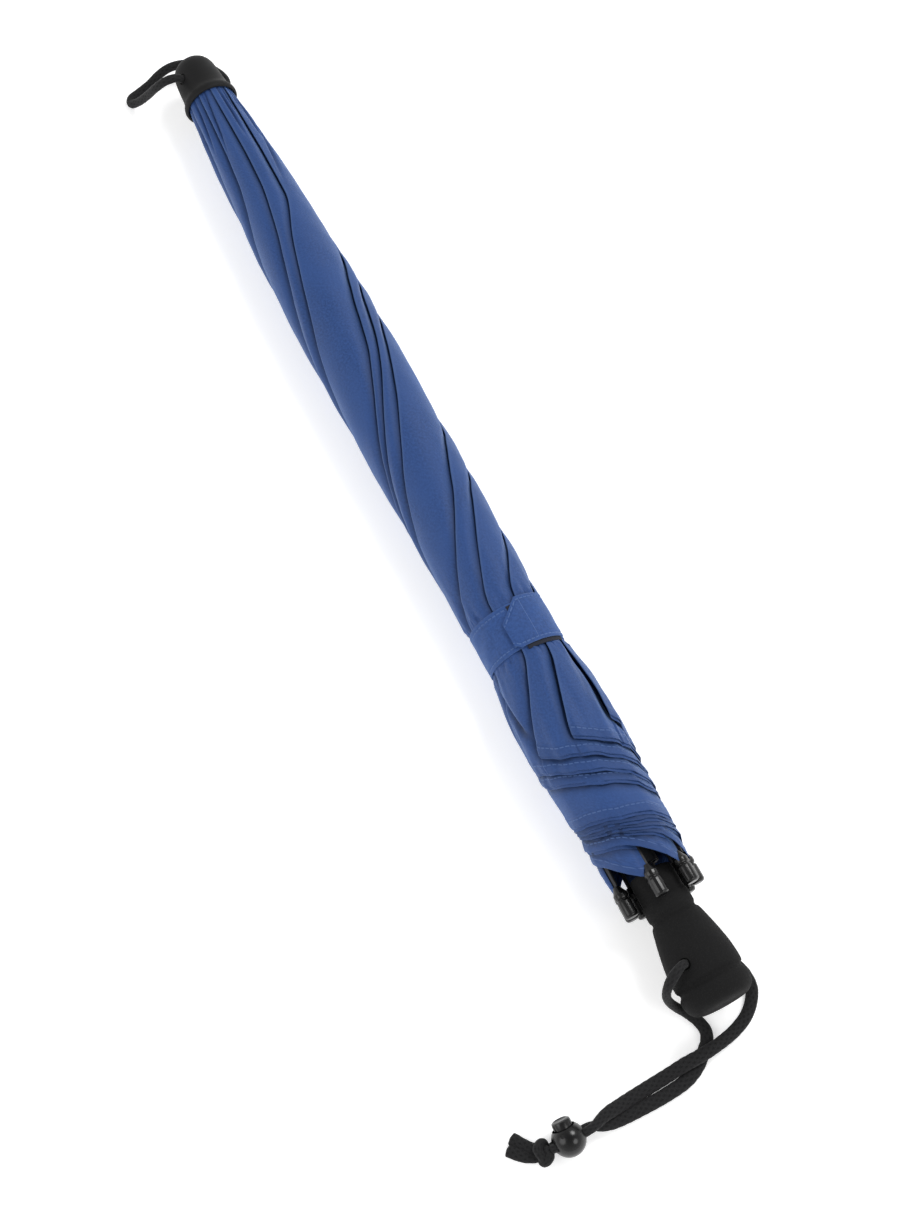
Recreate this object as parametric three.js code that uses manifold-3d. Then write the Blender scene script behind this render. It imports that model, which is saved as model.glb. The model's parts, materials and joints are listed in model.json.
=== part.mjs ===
// A hiking stick umbrella, furled and strapped, lying on its side.
// Millimetres. +X runs up the shaft from the handle to the cap, +Z is up.
// The origin is on the ground, under the middle of the shaft's length.
import * as THREE from "three";
import { mergeVertices } from "three/addons/utils/BufferGeometryUtils.js";
import Module from "manifold-3d";

const wasm = await Module();
wasm.setup();

// Driving dimensions

const LENGTH = 635;
const AXIS_HEIGHT = 22.4;
const TOP_X = LENGTH / 2;
const END_X = -LENGTH / 2;
const RIB_COUNT = 8;
const FIRST_RIB_ANGLE = 4;
const TIP_ANGLES = [8, 42, 101, 176, 203, 240, 282, 325];

const SHAFT_R = 4.5;
const SHAFT_BORE_R = 3.5;
const SHAFT_TOP_X = 296;
const SHAFT_END_X = -284;

const HINGE_X = 279;
const HINGE_R = 9;
const LINK = 245;
const JOINER_X = HINGE_X - LINK;
const RUNNER_PIVOT_X = HINGE_X - 2 * LINK;
const SLOT_WIDTH = 2.6;
const SLOT_FLOOR_R = 7.45;
const CROWN_R = 12;
const HUB_R = 7.3;
const HUB_BORE_R = 4.75;

const ROD_OFFSET_R = 12.2;
const ROD_R = 1.15;
const BLADE_THICKNESS = 1.6;
const EYE_R = 1.25;
const EYE_HOLE_R = 0.8;
const PIN_R = 0.5;
const TIP_CIRCLE_R = 18.8;
const TIP_R = 3.8;
const TIP_NECK_R = 2;
const TIP_SOCKET_DEPTH = 9;
const TIP_END_X = -260;
const TIP_LENGTH = 17;
const BEND_START_X = 22;

const GORE_HALF_ANGLE = 22;
const GORE_ARC_STEPS = 4;

const STRAP_X = [-115.5, -90.5];
const BAND_R = [21.1, 21.6];
const HOOK_R = [21.9, 22.2];
const TAB_R = [22.5, 23];
const TAB_ANGLES = [28, 39, 50, 61, 72];
const TAB_POINT_ANGLE = 31;
const TAB_POINT_TAPER = 10.5;
const HOOK_ANGLES = [34, 46, 58, 70, 78];

const CATCH_ANGLE = FIRST_RIB_ANGLE + 180 / RIB_COUNT;
const CATCH_XS = { lower_catch: -232, upper_catch: 160 };
const CATCH_HALF_LENGTH = 9;
const CATCH_HEAD_HALF_LENGTH = 3;
const CATCH_FOOT_R = [2, 2.9];
const CATCH_HEAD_R = [4.9, 5.8, 6];
const CATCH_WIDTH = 2.2;
const CATCH_PLAY = 0.3;

const RUNNER_TAIL = 29;
const RUNNER_COLLAR = 6;
const RUNNER_NOSE = 8;
const RUNNER_GROOVE_R = 6.35;
const RUNNER_GROOVE_WIDTH = 3;

const WRIST_HOLE_X = -293.5;
const WRIST_HOLE_ANGLE = 126;
const WRIST_CORD_R = 2;
const LOOP_HOLE_X = 303;
const LOOP_HOLE_ANGLE = 140;
const LOOP_CORD_R = 2.3;
const HOLE_CLEARANCE = 0.4;
const CUT_REACH = 24;

const BALL_R = 8.6;
const BALL_CENTRE = [-337.5, 96, BALL_R];
const PLUNGER_TILT = 20;
const STRAND_PITCH = 4.3;
const BALL_BORE_R = 5.9;
const STEM_R = 5.6;
const BUTTON_R = 4.9;
const BUTTON_TOP = 12;
const SPRING_WELL = [-7, -5.6];
const SPRING_WELL_R = 3.4;
const SPRING_COIL_R = 2.5;
const SPRING_TURNS = 2.5;

const GRIP_BORE_R = 7.35;
const CORE_R = 7;
const GRIP_TOP_X = -244;
const GRIP_FLOOR_X = -312;
const CORE_FIT = 0.3;

// The outline of the furled canopy: distance along the shaft, outer radius
const BUNDLE = [
  [267, 15.3], [225, 18.1], [180, 20.4], [128, 22.5], [105, 22.9], [65, 22.8],
  [-10, 22.1], [-85, 20.8], [-120, 20.8], [-136, 24.2], [-163, 26.2], [-190, 23.8],
  [-238, 21.9],
];
// The inside of the canopy: it clears the rods, the joiners and the splayed rod ends
const BUNDLE_INSIDE = [[267, 13.8], [65, 14.8], [-10, 14.8], [-238, 20.2]];

const COLOURS = {
  fabric: 0x3f5f9e, foam: 0x1b1b1c, rubber: 0x202020, cord: 0x1a1a1b,
  gloss: 0x121213, nylon: 0x1d1e20, steel: 0x9a9da1, fibre: 0x2a2a2c, hook: 0x16181f,
};

// Small tools

const radians = (degrees) => (degrees * Math.PI) / 180;

function interpolate(table, x) {
  for (let i = 1; i < table.length; i++) {
    const [x0, y0] = table[i - 1];
    const [x1, y1] = table[i];
    if (x >= Math.min(x0, x1) && x <= Math.max(x0, x1)) {
      return y0 + ((y1 - y0) * (x - x0)) / (x1 - x0);
    }
  }
  return table[table.length - 1][1];
}

function material(colour, roughness, metalness = 0) {
  return new THREE.MeshStandardMaterial({ color: colour, roughness, metalness });
}

const MATERIALS = {
  fabric: material(COLOURS.fabric, 0.7),
  foam: material(COLOURS.foam, 0.9),
  rubber: material(COLOURS.rubber, 0.75),
  cord: material(COLOURS.cord, 0.85),
  gloss: material(COLOURS.gloss, 0.25),
  nylon: material(COLOURS.nylon, 0.5),
  steel: material(COLOURS.steel, 0.35, 1),
  fibre: material(COLOURS.fibre, 0.45),
  hook: material(COLOURS.hook, 0.95),
};

const umbrella = new THREE.Group();
const onAxis = new THREE.Group();
onAxis.position.z = AXIS_HEIGHT;
umbrella.add(onAxis);

function addPart(parent, name, geometry, finish) {
  const mesh = new THREE.Mesh(geometry, MATERIALS[finish]);
  mesh.name = name;
  parent.add(mesh);
  return mesh;
}

// A group whose own +Z points away from the shaft at an angle round it.
// 0 degrees is the -Y side, 90 is the top and 180 is the +Y side.
function radialGroup(angle) {
  const group = new THREE.Group();
  group.rotation.x = radians(90 - angle);
  onAxis.add(group);
  return group;
}

function toSolid(geometry) {
  const bare = geometry.clone();
  bare.deleteAttribute("normal");
  bare.deleteAttribute("uv");
  const merged = mergeVertices(bare, 1e-4);
  return new wasm.Manifold(new wasm.Mesh({
    numProp: 3,
    vertProperties: new Float32Array(merged.attributes.position.array),
    triVerts: new Uint32Array(merged.index.array),
  }));
}

function toGeometry(solid) {
  const mesh = solid.getMesh();
  const geometry = new THREE.BufferGeometry();
  geometry.setAttribute("position", new THREE.BufferAttribute(mesh.vertProperties, 3));
  geometry.setIndex(new THREE.BufferAttribute(mesh.triVerts, 1));
  geometry.computeVertexNormals();
  return geometry;
}

// A turned piece whose axis is the shaft's: the profile is a list of [x, radius]
function turned(profile, segments = 24) {
  const points = profile.map(([x, r]) => new THREE.Vector2(r, x));
  return new THREE.LatheGeometry(points, segments).rotateZ(-Math.PI / 2);
}

function block(x, y, z) {
  const size = [x[1] - x[0], y[1] - y[0], z[1] - z[0]];
  const box = new THREE.BoxGeometry(...size);
  return box.translate((x[0] + x[1]) / 2, (y[0] + y[1]) / 2, (z[0] + z[1]) / 2);
}

// A round bar along local Y through (x, z)
function crossBar(x, z, radius, length, segments = 10) {
  return new THREE.CylinderGeometry(radius, radius, length, segments).translate(x, 0, z);
}

// A round bar along local Z through (x, y), from z0 to z1
function radialBar(x, y, z0, z1, radius, segments = 16) {
  const bar = new THREE.CylinderGeometry(radius, radius, z1 - z0, segments);
  return bar.rotateX(Math.PI / 2).translate(x, y, (z0 + z1) / 2);
}

// An outline of [x, z] points given a thickness along local Y
function plate(outline, thickness, holes = []) {
  const shape = new THREE.Shape(outline.map(([x, z]) => new THREE.Vector2(x, z)));
  for (const [x, z, radius] of holes) {
    shape.holes.push(new THREE.Path().absarc(x, z, radius, 0, 2 * Math.PI, true));
  }
  const options = { depth: thickness, bevelEnabled: false, curveSegments: 10 };
  return new THREE.ExtrudeGeometry(shape, options).rotateX(Math.PI / 2).translate(0, thickness / 2, 0);
}

function arc(x, z, radius, from, to, steps) {
  const points = [];
  for (let i = 0; i <= steps; i++) {
    const angle = radians(from + ((to - from) * i) / steps);
    points.push([x + radius * Math.cos(angle), z + radius * Math.sin(angle)]);
  }
  return points;
}

// A round tube along a smooth curve through the points
function tube(points, radius, steps, sides = 8) {
  const knots = points.map((point) => new THREE.Vector3(...point));
  const curve = new THREE.CatmullRomCurve3(knots, false, "centripetal");
  const section = new THREE.Shape(
    arc(0, 0, radius, 0, 360 - 360 / sides, sides - 1).map(([x, y]) => new THREE.Vector2(x, y)),
  );
  const options = { extrudePath: curve, steps, bevelEnabled: false, curveSegments: sides };
  return new THREE.ExtrudeGeometry(section, options);
}

function cut(geometry, cutters) {
  let solid = toSolid(geometry);
  for (const cutter of cutters) {
    solid = solid.subtract(toSolid(cutter));
  }
  return toGeometry(solid);
}

function join(geometries) {
  let solid = toSolid(geometries[0]);
  for (const piece of geometries.slice(1)) {
    solid = solid.add(toSolid(piece));
  }
  return solid;
}

// A cutter made in a radial group's frame, turned to its angle round the shaft
const atAngle = (geometry, angle) => geometry.rotateX(radians(90 - angle));

// A closed patch of shell round the shaft. stations lists [angle, x0, x1].
function shellPatch(stations, innerR, outerR) {
  const rings = stations.map(([angle, x0, x1]) => {
    const y = -Math.cos(radians(angle));
    const z = Math.sin(radians(angle));
    return [[x1, innerR * y, innerR * z], [x0, innerR * y, innerR * z],
      [x0, outerR * y, outerR * z], [x1, outerR * y, outerR * z]];
  });
  return loft(rings);
}

// A closed body through rings that have the same number of points
function loft(rings) {
  const count = rings[0].length;
  const index = [];
  for (let i = 0; i < rings.length - 1; i++) {
    for (let j = 0; j < count; j++) {
      const a = i * count + j;
      const b = i * count + ((j + 1) % count);
      index.push(a, b, b + count, a, b + count, a + count);
    }
  }
  const last = (rings.length - 1) * count;
  const half = count / 2;
  for (let j = 0; j < half - 1; j++) {
    const [a, b, c, d] = [j, j + 1, count - 2 - j, count - 1 - j];
    index.push(a, d, c, a, c, b);
    index.push(last + a, last + b, last + c, last + a, last + c, last + d);
  }
  const geometry = new THREE.BufferGeometry();
  geometry.setAttribute("position", new THREE.Float32BufferAttribute(rings.flat(2), 3));
  geometry.setIndex(index);
  return geometry;
}

// Shaft, top notch, its wire and pin

function slotCutters(x0, x1) {
  const cutters = [];
  for (let i = 0; i < RIB_COUNT; i++) {
    const slot = block([x0, x1], [-SLOT_WIDTH / 2, SLOT_WIDTH / 2], [SLOT_FLOOR_R, CROWN_R + 2]);
    cutters.push(atAngle(slot, FIRST_RIB_ANGLE + (i * 360) / RIB_COUNT));
  }
  return cutters;
}

const NOTCH_X = [266, 289];
const NOTCH_PIN_X = 269;
const NOTCH_PIN_ANGLE = CATCH_ANGLE + 90;
const NOTCH_PIN_R = 0.85;
const pinHole = () => atAngle(
  radialBar(NOTCH_PIN_X, 0, -CROWN_R, CROWN_R, NOTCH_PIN_R + 0.2, 10), NOTCH_PIN_ANGLE);

function makeShaft() {
  const pipe = turned([
    [SHAFT_END_X, SHAFT_BORE_R], [SHAFT_END_X, SHAFT_R], [SHAFT_TOP_X, SHAFT_R],
    [SHAFT_TOP_X, SHAFT_BORE_R], [SHAFT_END_X, SHAFT_BORE_R],
  ]);
  const windowHalf = CATCH_HEAD_HALF_LENGTH + 0.4;
  const windowSide = CATCH_WIDTH / 2 + CATCH_PLAY;
  const windows = Object.values(CATCH_XS).map((x) =>
    atAngle(block([x - windowHalf, x + windowHalf], [-windowSide, windowSide], [1, SHAFT_R + 2]), CATCH_ANGLE));
  addPart(onAxis, "shaft", cut(pipe, [...windows, pinHole()]), "fibre");
}

function makeTopNotch() {
  const body = turned([
    [NOTCH_X[0], HUB_BORE_R], [NOTCH_X[0], HUB_R], [NOTCH_X[0] + 6, HUB_R],
    [NOTCH_X[0] + 7, CROWN_R], [NOTCH_X[1] - 3, CROWN_R], [NOTCH_X[1], CROWN_R - 3],
    [NOTCH_X[1], HUB_BORE_R], [NOTCH_X[0], HUB_BORE_R],
  ]);
  const wireGroove = turned([
    [HINGE_X - 0.8, HINGE_R - 0.7], [HINGE_X - 0.8, CROWN_R + 1], [HINGE_X + 0.8, CROWN_R + 1],
    [HINGE_X + 0.8, HINGE_R - 0.7], [HINGE_X - 0.8, HINGE_R - 0.7],
  ]);
  const cutters = [...slotCutters(NOTCH_X[0] + 5, NOTCH_X[1] + 1), wireGroove, pinHole()];
  addPart(onAxis, "top_notch", cut(body, cutters), "nylon");

  const wire = new THREE.TorusGeometry(HINGE_R, 0.4, 5, 32).rotateY(Math.PI / 2).translate(HINGE_X, 0, 0);
  addPart(onAxis, "notch_wire", wire, "steel");

  const pin = atAngle(radialBar(NOTCH_PIN_X, 0, -HUB_R, HUB_R, NOTCH_PIN_R, 10), NOTCH_PIN_ANGLE);
  addPart(onAxis, "notch_pin", pin, "steel");
}

// Runner and the two catches it passes over

function makeRunner() {
  const x = RUNNER_PIVOT_X;
  const body = turned([
    [x - RUNNER_TAIL, HUB_BORE_R], [x - RUNNER_TAIL, HUB_R], [x - RUNNER_COLLAR, HUB_R],
    [x - RUNNER_COLLAR + 1.5, CROWN_R], [x + RUNNER_NOSE - 3, CROWN_R],
    [x + RUNNER_NOSE, CROWN_R - 2.5], [x + RUNNER_NOSE, HUB_BORE_R], [x - RUNNER_TAIL, HUB_BORE_R],
  ]);
  const side = RUNNER_GROOVE_WIDTH / 2;
  const reach = [x - RUNNER_TAIL - 2, x + RUNNER_NOSE + 2];
  const groove = atAngle(block(reach, [-side, side], [0, RUNNER_GROOVE_R]), CATCH_ANGLE);
  addPart(onAxis, "runner", cut(body, [...slotCutters(x - RUNNER_COLLAR - 1, reach[1]), groove]), "nylon");
}

function makeCatches() {
  for (const [name, x] of Object.entries(CATCH_XS)) {
    const [foot, head] = [CATCH_HALF_LENGTH, CATCH_HEAD_HALF_LENGTH];
    const [inner, outer] = CATCH_FOOT_R;
    const [low, high, peak] = CATCH_HEAD_R;
    const outline = [
      [x - foot, inner], [x + foot, inner], [x + foot, outer], [x + head, outer], [x + head, high],
      [x + head - 1, peak], [x - head, low], [x - head, outer], [x - foot, outer],
    ];
    addPart(radialGroup(CATCH_ANGLE), name, plate(outline, CATCH_WIDTH), "steel");
  }
}

// Ribs, tips, joiners, stretchers and gores: one set at each of eight angles

function rodPath(lean) {
  const straight = [HINGE_X - 7, HINGE_X - 60, JOINER_X + 60, JOINER_X, BEND_START_X];
  const points = straight.map((x) => [x, 0, ROD_OFFSET_R]);
  const endX = TIP_END_X + 10;
  for (const part of [0.15, 0.35, 0.6, 0.85, 0.95, 1]) {
    const ease = Math.min(1, part / 0.95);
    const r = ROD_OFFSET_R + (TIP_CIRCLE_R - ROD_OFFSET_R) * ease;
    const angle = radians(lean * ease * ease * (3 - 2 * ease));
    points.push([BEND_START_X + (endX - BEND_START_X) * part, r * Math.sin(angle), r * Math.cos(angle)]);
  }
  return points;
}

function makeRib(group, number, lean) {
  const eye = crossBar(HINGE_X, HINGE_R, EYE_R, BLADE_THICKNESS, 8);
  const arm = plate([
    [HINGE_X - 0.6, HINGE_R + 1.1], [HINGE_X - 5.5, ROD_OFFSET_R + 0.9], [HINGE_X - 9, ROD_OFFSET_R + 0.9],
    [HINGE_X - 9, ROD_OFFSET_R - 0.9], [HINGE_X - 0.8, HINGE_R - 0.9],
  ], BLADE_THICKNESS);
  const rod = tube(rodPath(lean), ROD_R, 12, 6);
  const whole = join([eye, arm, rod]);
  const hole = toSolid(crossBar(HINGE_X, HINGE_R, EYE_HOLE_R, 4, 6));
  addPart(group, `rib_${number}`, toGeometry(whole.subtract(hole)), "fibre");
}

function makeTip(group, number, lean) {
  const x = TIP_END_X;
  const tip = turned([
    [x, 0], [x, TIP_R - 0.7], [x + 0.8, TIP_R], [x + 9.2, TIP_R], [x + 9.9, TIP_R - 0.7],
    [x + 10.6, TIP_R], [x + 13.3, TIP_R - 0.4], [x + TIP_LENGTH, TIP_NECK_R],
    [x + TIP_LENGTH, ROD_R + 0.3], [x + TIP_SOCKET_DEPTH, ROD_R + 0.3], [x + TIP_SOCKET_DEPTH, 0],
  ], 8);
  const angle = radians(lean);
  tip.translate(0, TIP_CIRCLE_R * Math.sin(angle), TIP_CIRCLE_R * Math.cos(angle));
  addPart(group, `rib_tip_${number}`, tip, "gloss");
}

function makeJoiner(group, number) {
  const x = JOINER_X;
  const outline = [[x - 6, 8.6], [x - 5, 7.6], [x + 5, 7.6], [x + 6, 8.6], [x + 6, 13], [x + 5, 14], [x - 5, 14],
    [x - 6, 13]];
  const bore = new THREE.CylinderGeometry(ROD_R + 0.2, ROD_R + 0.2, 20, 10).rotateZ(Math.PI / 2);
  bore.translate(x, 0, ROD_OFFSET_R);
  const body = cut(plate(outline, 4.4), [block([x - 8, x + 8], [-1.15, 1.15], [6, 10.5]), bore]);
  const pinned = join([body, crossBar(x, HINGE_R, PIN_R, 3.4, 8)]);
  addPart(group, `rib_joiner_${number}`, toGeometry(pinned), "nylon");
}

function makeStretcher(group, number) {
  const outline = [
    ...arc(JOINER_X, HINGE_R, EYE_R, -90, 90, 6),
    ...arc(RUNNER_PIVOT_X, HINGE_R, EYE_R, 90, 270, 6),
  ];
  const hole = [[JOINER_X, HINGE_R, EYE_HOLE_R]];
  addPart(group, `stretcher_${number}`, plate(outline, BLADE_THICKNESS, hole), "steel");
}

// One eighth of the furled canopy: a shell round the ribs, resting flat on the ground
function makeGore(number, angle) {
  const rings = BUNDLE.map(([x, outerR]) => {
    const innerR = interpolate(BUNDLE_INSIDE, x);
    const ring = [];
    for (let side = 0; side < 2; side++) {
      for (let i = 0; i <= GORE_ARC_STEPS; i++) {
        const step = side === 0 ? i : GORE_ARC_STEPS - i;
        const turn = radians(angle - GORE_HALF_ANGLE + (2 * GORE_HALF_ANGLE * step) / GORE_ARC_STEPS);
        const r = side === 0 ? innerR : outerR;
        ring.push([x, -r * Math.cos(turn), Math.max(r * Math.sin(turn), -AXIS_HEIGHT)]);
      }
    }
    return ring;
  });
  addPart(onAxis, `gore_${number}`, loft(rings.reverse()), "fabric");
}

function makeRibSets() {
  for (let i = 0; i < RIB_COUNT; i++) {
    const angle = FIRST_RIB_ANGLE + (i * 360) / RIB_COUNT;
    const lean = TIP_ANGLES[i] - angle;
    const group = radialGroup(angle);
    makeRib(group, i + 1, lean);
    makeTip(group, i + 1, lean);
    makeJoiner(group, i + 1);
    makeStretcher(group, i + 1);
    makeGore(i + 1, angle);
  }
}

// Closing strap: band, loose tab and the patch of hooks under the tab

function makeStrap() {
  const band = turned([
    [STRAP_X[0], BAND_R[0]], [STRAP_X[0], BAND_R[1]], [STRAP_X[1], BAND_R[1]],
    [STRAP_X[1], BAND_R[0]], [STRAP_X[0], BAND_R[0]],
  ], 32);
  addPart(onAxis, "strap_band", band, "fabric");

  const tabStations = TAB_ANGLES.map((angle) => [angle, ...STRAP_X]);
  const shoulder = TAB_ANGLES[TAB_ANGLES.length - 1];
  for (const part of [1 / 3, 2 / 3, 1]) {
    tabStations.push([shoulder + TAB_POINT_ANGLE * part, STRAP_X[0], STRAP_X[1] - TAB_POINT_TAPER * part]);
  }
  addPart(onAxis, "strap_tab", shellPatch(tabStations, ...TAB_R), "fabric");

  const hookStations = HOOK_ANGLES.map((angle) => [angle, STRAP_X[0] + 2.5, STRAP_X[1] - 4]);
  addPart(onAxis, "strap_hook_patch", shellPatch(hookStations, ...HOOK_R), "hook");
}

// Handle: foam grip over a plastic core

const wristHole = () => atAngle(
  radialBar(WRIST_HOLE_X, 0, -CUT_REACH, CUT_REACH, WRIST_CORD_R + HOLE_CLEARANCE, 12), WRIST_HOLE_ANGLE);

function makeHandle() {
  const grip = turned([
    [END_X, 0], [END_X, 12.5], [END_X + 2.2, 16.7], [END_X + 6.5, 18.4], [END_X + 10.6, 18.5],
    [END_X + 12.3, 17.3], [END_X + 13.8, 17.2], [END_X + 15.4, 18.3],
    [-296, 18.2], [-289, 17.5], [-279, 15.4], [-269.8, 13.1], [-268.8, 12], [-267.2, 11.9],
    [-266, 12.6], [-259, 12.5], [-257.6, 11.8], [GRIP_TOP_X, 11.6],
    [GRIP_TOP_X, GRIP_BORE_R], [GRIP_FLOOR_X, GRIP_BORE_R], [GRIP_FLOOR_X, 0],
  ], 24);
  addPart(onAxis, "handle_grip", cut(grip, [wristHole()]), "foam");

  const core = turned([
    [GRIP_FLOOR_X + 0.4, 0], [GRIP_FLOOR_X + 0.4, CORE_R], [GRIP_TOP_X - 2, CORE_R],
    [GRIP_TOP_X - 2, SHAFT_R + CORE_FIT], [SHAFT_END_X - 1, SHAFT_R + CORE_FIT], [SHAFT_END_X - 1, 0],
  ]);
  addPart(onAxis, "handle_core", cut(core, [wristHole()]), "nylon");
}

// Cap: a rubber bell over the top notch, with a hole across it for the loop

function makeCap() {
  const bell = turned([
    [TOP_X, 0], [TOP_X - 0.6, 5], [TOP_X - 2.6, 9], [TOP_X - 6.5, 12], [TOP_X - 12, 13.5],
    [TOP_X - 26, 14.6], [TOP_X - 29.5, 16.4], [TOP_X - 31.5, 16.7], [TOP_X - 33.5, 15.8],
    [TOP_X - 33.2, 14.9], [NOTCH_X[1] + 3, 13.5], [NOTCH_X[1] + 3, SHAFT_R + CORE_FIT],
    [SHAFT_TOP_X + 0.6, SHAFT_R + CORE_FIT], [SHAFT_TOP_X + 0.6, 0],
  ].reverse(), 24);
  const hole = radialBar(LOOP_HOLE_X, 0, -CUT_REACH, CUT_REACH, LOOP_CORD_R + HOLE_CLEARANCE, 12);
  addPart(onAxis, "bell_cap", cut(bell, [atAngle(hole, LOOP_HOLE_ANGLE)]), "rubber");
}

// Cords, cord lock and knot. Their places are in the ground's frame.

// A point on the line through the shaft's axis at x and angle, a distance r from the axis
function acrossAxis(x, angle, r) {
  return [x, -r * Math.cos(radians(angle)), AXIS_HEIGHT + r * Math.sin(radians(angle))];
}

const PLUNGER_AXIS = [Math.cos(radians(PLUNGER_TILT)), 0, Math.sin(radians(PLUNGER_TILT))];
const PAIR_AXIS = [-PLUNGER_AXIS[2], 0, PLUNGER_AXIS[0]];

// A point on a strand where it runs through the ball, side being -1 or 1
function inBall(y, side) {
  const shift = (side * STRAND_PITCH) / 2;
  return [BALL_CENTRE[0] + PAIR_AXIS[0] * shift, y, BALL_CENTRE[2] + PAIR_AXIS[2] * shift];
}

function makeWristCord() {
  const h = WRIST_HOLE_ANGLE;
  const x = WRIST_HOLE_X;
  const left = [
    acrossAxis(x, h, 0.2), acrossAxis(x, h, 9), acrossAxis(x, h, 18), acrossAxis(x - 0.5, h, 21.5),
    [-296.5, 18.2, 41.4], [-299.2, 22.6, 38], [-301.8, 24.4, 30], [-304.2, 23, 21.5],
    [-307, 19.5, 12.8], [-311, 15, 6.2], [-316.1, 11.6, 3], [-322.1, 10.4, 2.1], [-327, 12.6, 2.1],
    [-331.2, 17.2, 2.1], [-335.4, 23.2, 2.1], [-338.2, 31, 2.1], [-339.4, 43, 2.1],
    [-339.3, 56, 2.1], [-338.8, 70, 2.6], inBall(84, -1), inBall(96, -1), inBall(104.7, -1),
  ];
  const right = [
    acrossAxis(x, h, -0.2), acrossAxis(x, h, -9), acrossAxis(x, h, -18), [-294.6, -13.2, 5],
    [-298, -17.8, 2.7], [-305, -21, 2.1], [-313.6, -20.8, 2.1], [-319.6, -17.2, 2.1],
    [-325, -11, 2.1], [-328.6, -2.6, 2.6], [-330.6, 6, 4.4], [-331.6, 13.4, 6.4],
    [-332, 20.4, 6.9], [-332, 28.4, 5.4], [-332.4, 38.4, 3], [-333, 50.8, 2.6],
    [-334.4, 63, 5], [-337, 75, 8.9], inBall(84, 1), inBall(96, 1), inBall(104.7, 1),
  ];
  addPart(umbrella, "wrist_cord_left", tube(left, WRIST_CORD_R, 26), "cord");
  addPart(umbrella, "wrist_cord_right", tube(right, WRIST_CORD_R, 26), "cord");
}

function makeCapLoop() {
  const h = LOOP_HOLE_ANGLE;
  const x = LOOP_HOLE_X;
  const route = [
    acrossAxis(x, h, 0), acrossAxis(x, h, 12), [303.3, 14, 33.6], [304.4, 19.5, 33],
    [307.6, 25.4, 26.8], [312.6, 30.2, 17], [318, 35.6, 7.6], [322, 39, 3.2], [326, 37.6, 2.4],
    [328.2, 31, 2.6], [329.4, 24, 4.4], [330.6, 16.6, 8], [330.2, 9.6, 11], [327.8, 2, 12.6],
    [323.4, -6.4, 12.4], [317, -13.8, 10.4], [309.6, -17.6, 8.6], [304.4, -16.6, 9],
    acrossAxis(x, h, -14), acrossAxis(x, h, -0.4),
  ];
  addPart(umbrella, "cap_loop_cord", tube(route, LOOP_CORD_R, 26), "cord");
}

function makeCordLock() {
  const lock = new THREE.Group();
  lock.position.set(...BALL_CENTRE);
  lock.rotation.y = radians(90 - PLUNGER_TILT);
  umbrella.add(lock);
  const slotHalf = STRAND_PITCH / 2 + WRIST_CORD_R + 0.25;
  const slotHeight = WRIST_CORD_R + 0.3;
  const through = BALL_R + 3.4;
  const slotBox = [[-slotHalf, slotHalf], [-through, through], [-slotHeight, slotHeight]];

  const ball = new THREE.SphereGeometry(BALL_R, 20, 12).rotateX(Math.PI / 2);
  addPart(lock, "cord_lock_ball", cut(ball, [
    radialBar(0, 0, SPRING_WELL[1], BUTTON_TOP, BALL_BORE_R, 16),
    radialBar(0, 0, SPRING_WELL[0], 0, SPRING_WELL_R, 10),
    block(...slotBox),
  ]), "gloss");

  const stem = join([
    radialBar(0, 0, -3.4, STEM_R, STEM_R, 16), radialBar(0, 0, STEM_R - 0.6, BUTTON_TOP, BUTTON_R, 16),
  ]);
  const slot = toSolid(block(...slotBox));
  addPart(lock, "cord_lock_plunger", toGeometry(stem.subtract(slot)), "gloss");

  const coil = [];
  const coilSteps = SPRING_TURNS * 10;
  for (let i = 0; i <= coilSteps; i++) {
    const angle = (i / 10) * 2 * Math.PI;
    const height = SPRING_WELL[0] + 0.6 + (2.4 * i) / coilSteps;
    coil.push([SPRING_COIL_R * Math.cos(angle), SPRING_COIL_R * Math.sin(angle), height]);
  }
  addPart(lock, "cord_lock_spring", tube(coil, 0.3, 30, 5), "steel");
}

function makeKnot() {
  const halfLength = 4.4;
  const radius = 5.4;
  const centre = [-337.3, 109.5, radius];
  const profile = [];
  for (let i = 0; i <= 8; i++) {
    const angle = Math.PI * (i / 8);
    profile.push(new THREE.Vector2(Math.max(0, radius * Math.sin(angle)), -halfLength * Math.cos(angle)));
  }
  profile[0].x = 0;
  profile[8].x = 0;
  const body = new THREE.LatheGeometry(profile, 12).translate(...centre);
  const tails = [
    tube([[-335.5, 109, 4], [-331.5, 113.5, 2.9], [-327, 117.4, 2.1], [-322.6, 120.6, 2.1]], WRIST_CORD_R, 5),
    tube([[-337.5, 109, 4], [-335, 114.6, 2.9], [-332, 119.6, 2.1], [-328.6, 124.2, 2.1]], WRIST_CORD_R, 5),
  ];
  addPart(umbrella, "cord_knot", toGeometry(join([body, ...tails])), "cord");
}

makeShaft();
makeTopNotch();
makeRunner();
makeCatches();
makeRibSets();
makeStrap();
makeHandle();
makeCap();
makeWristCord();
makeCapLoop();
makeCordLock();
makeKnot();

export default umbrella;
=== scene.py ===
"""A hiking stick umbrella, furled and strapped, with its wrist cord and cap loop."""
import json
import math

import bmesh
import bpy
import numpy as np
from bpy.props import FloatProperty, FloatVectorProperty, IntProperty, PointerProperty
from mathutils import Matrix, Vector

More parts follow.
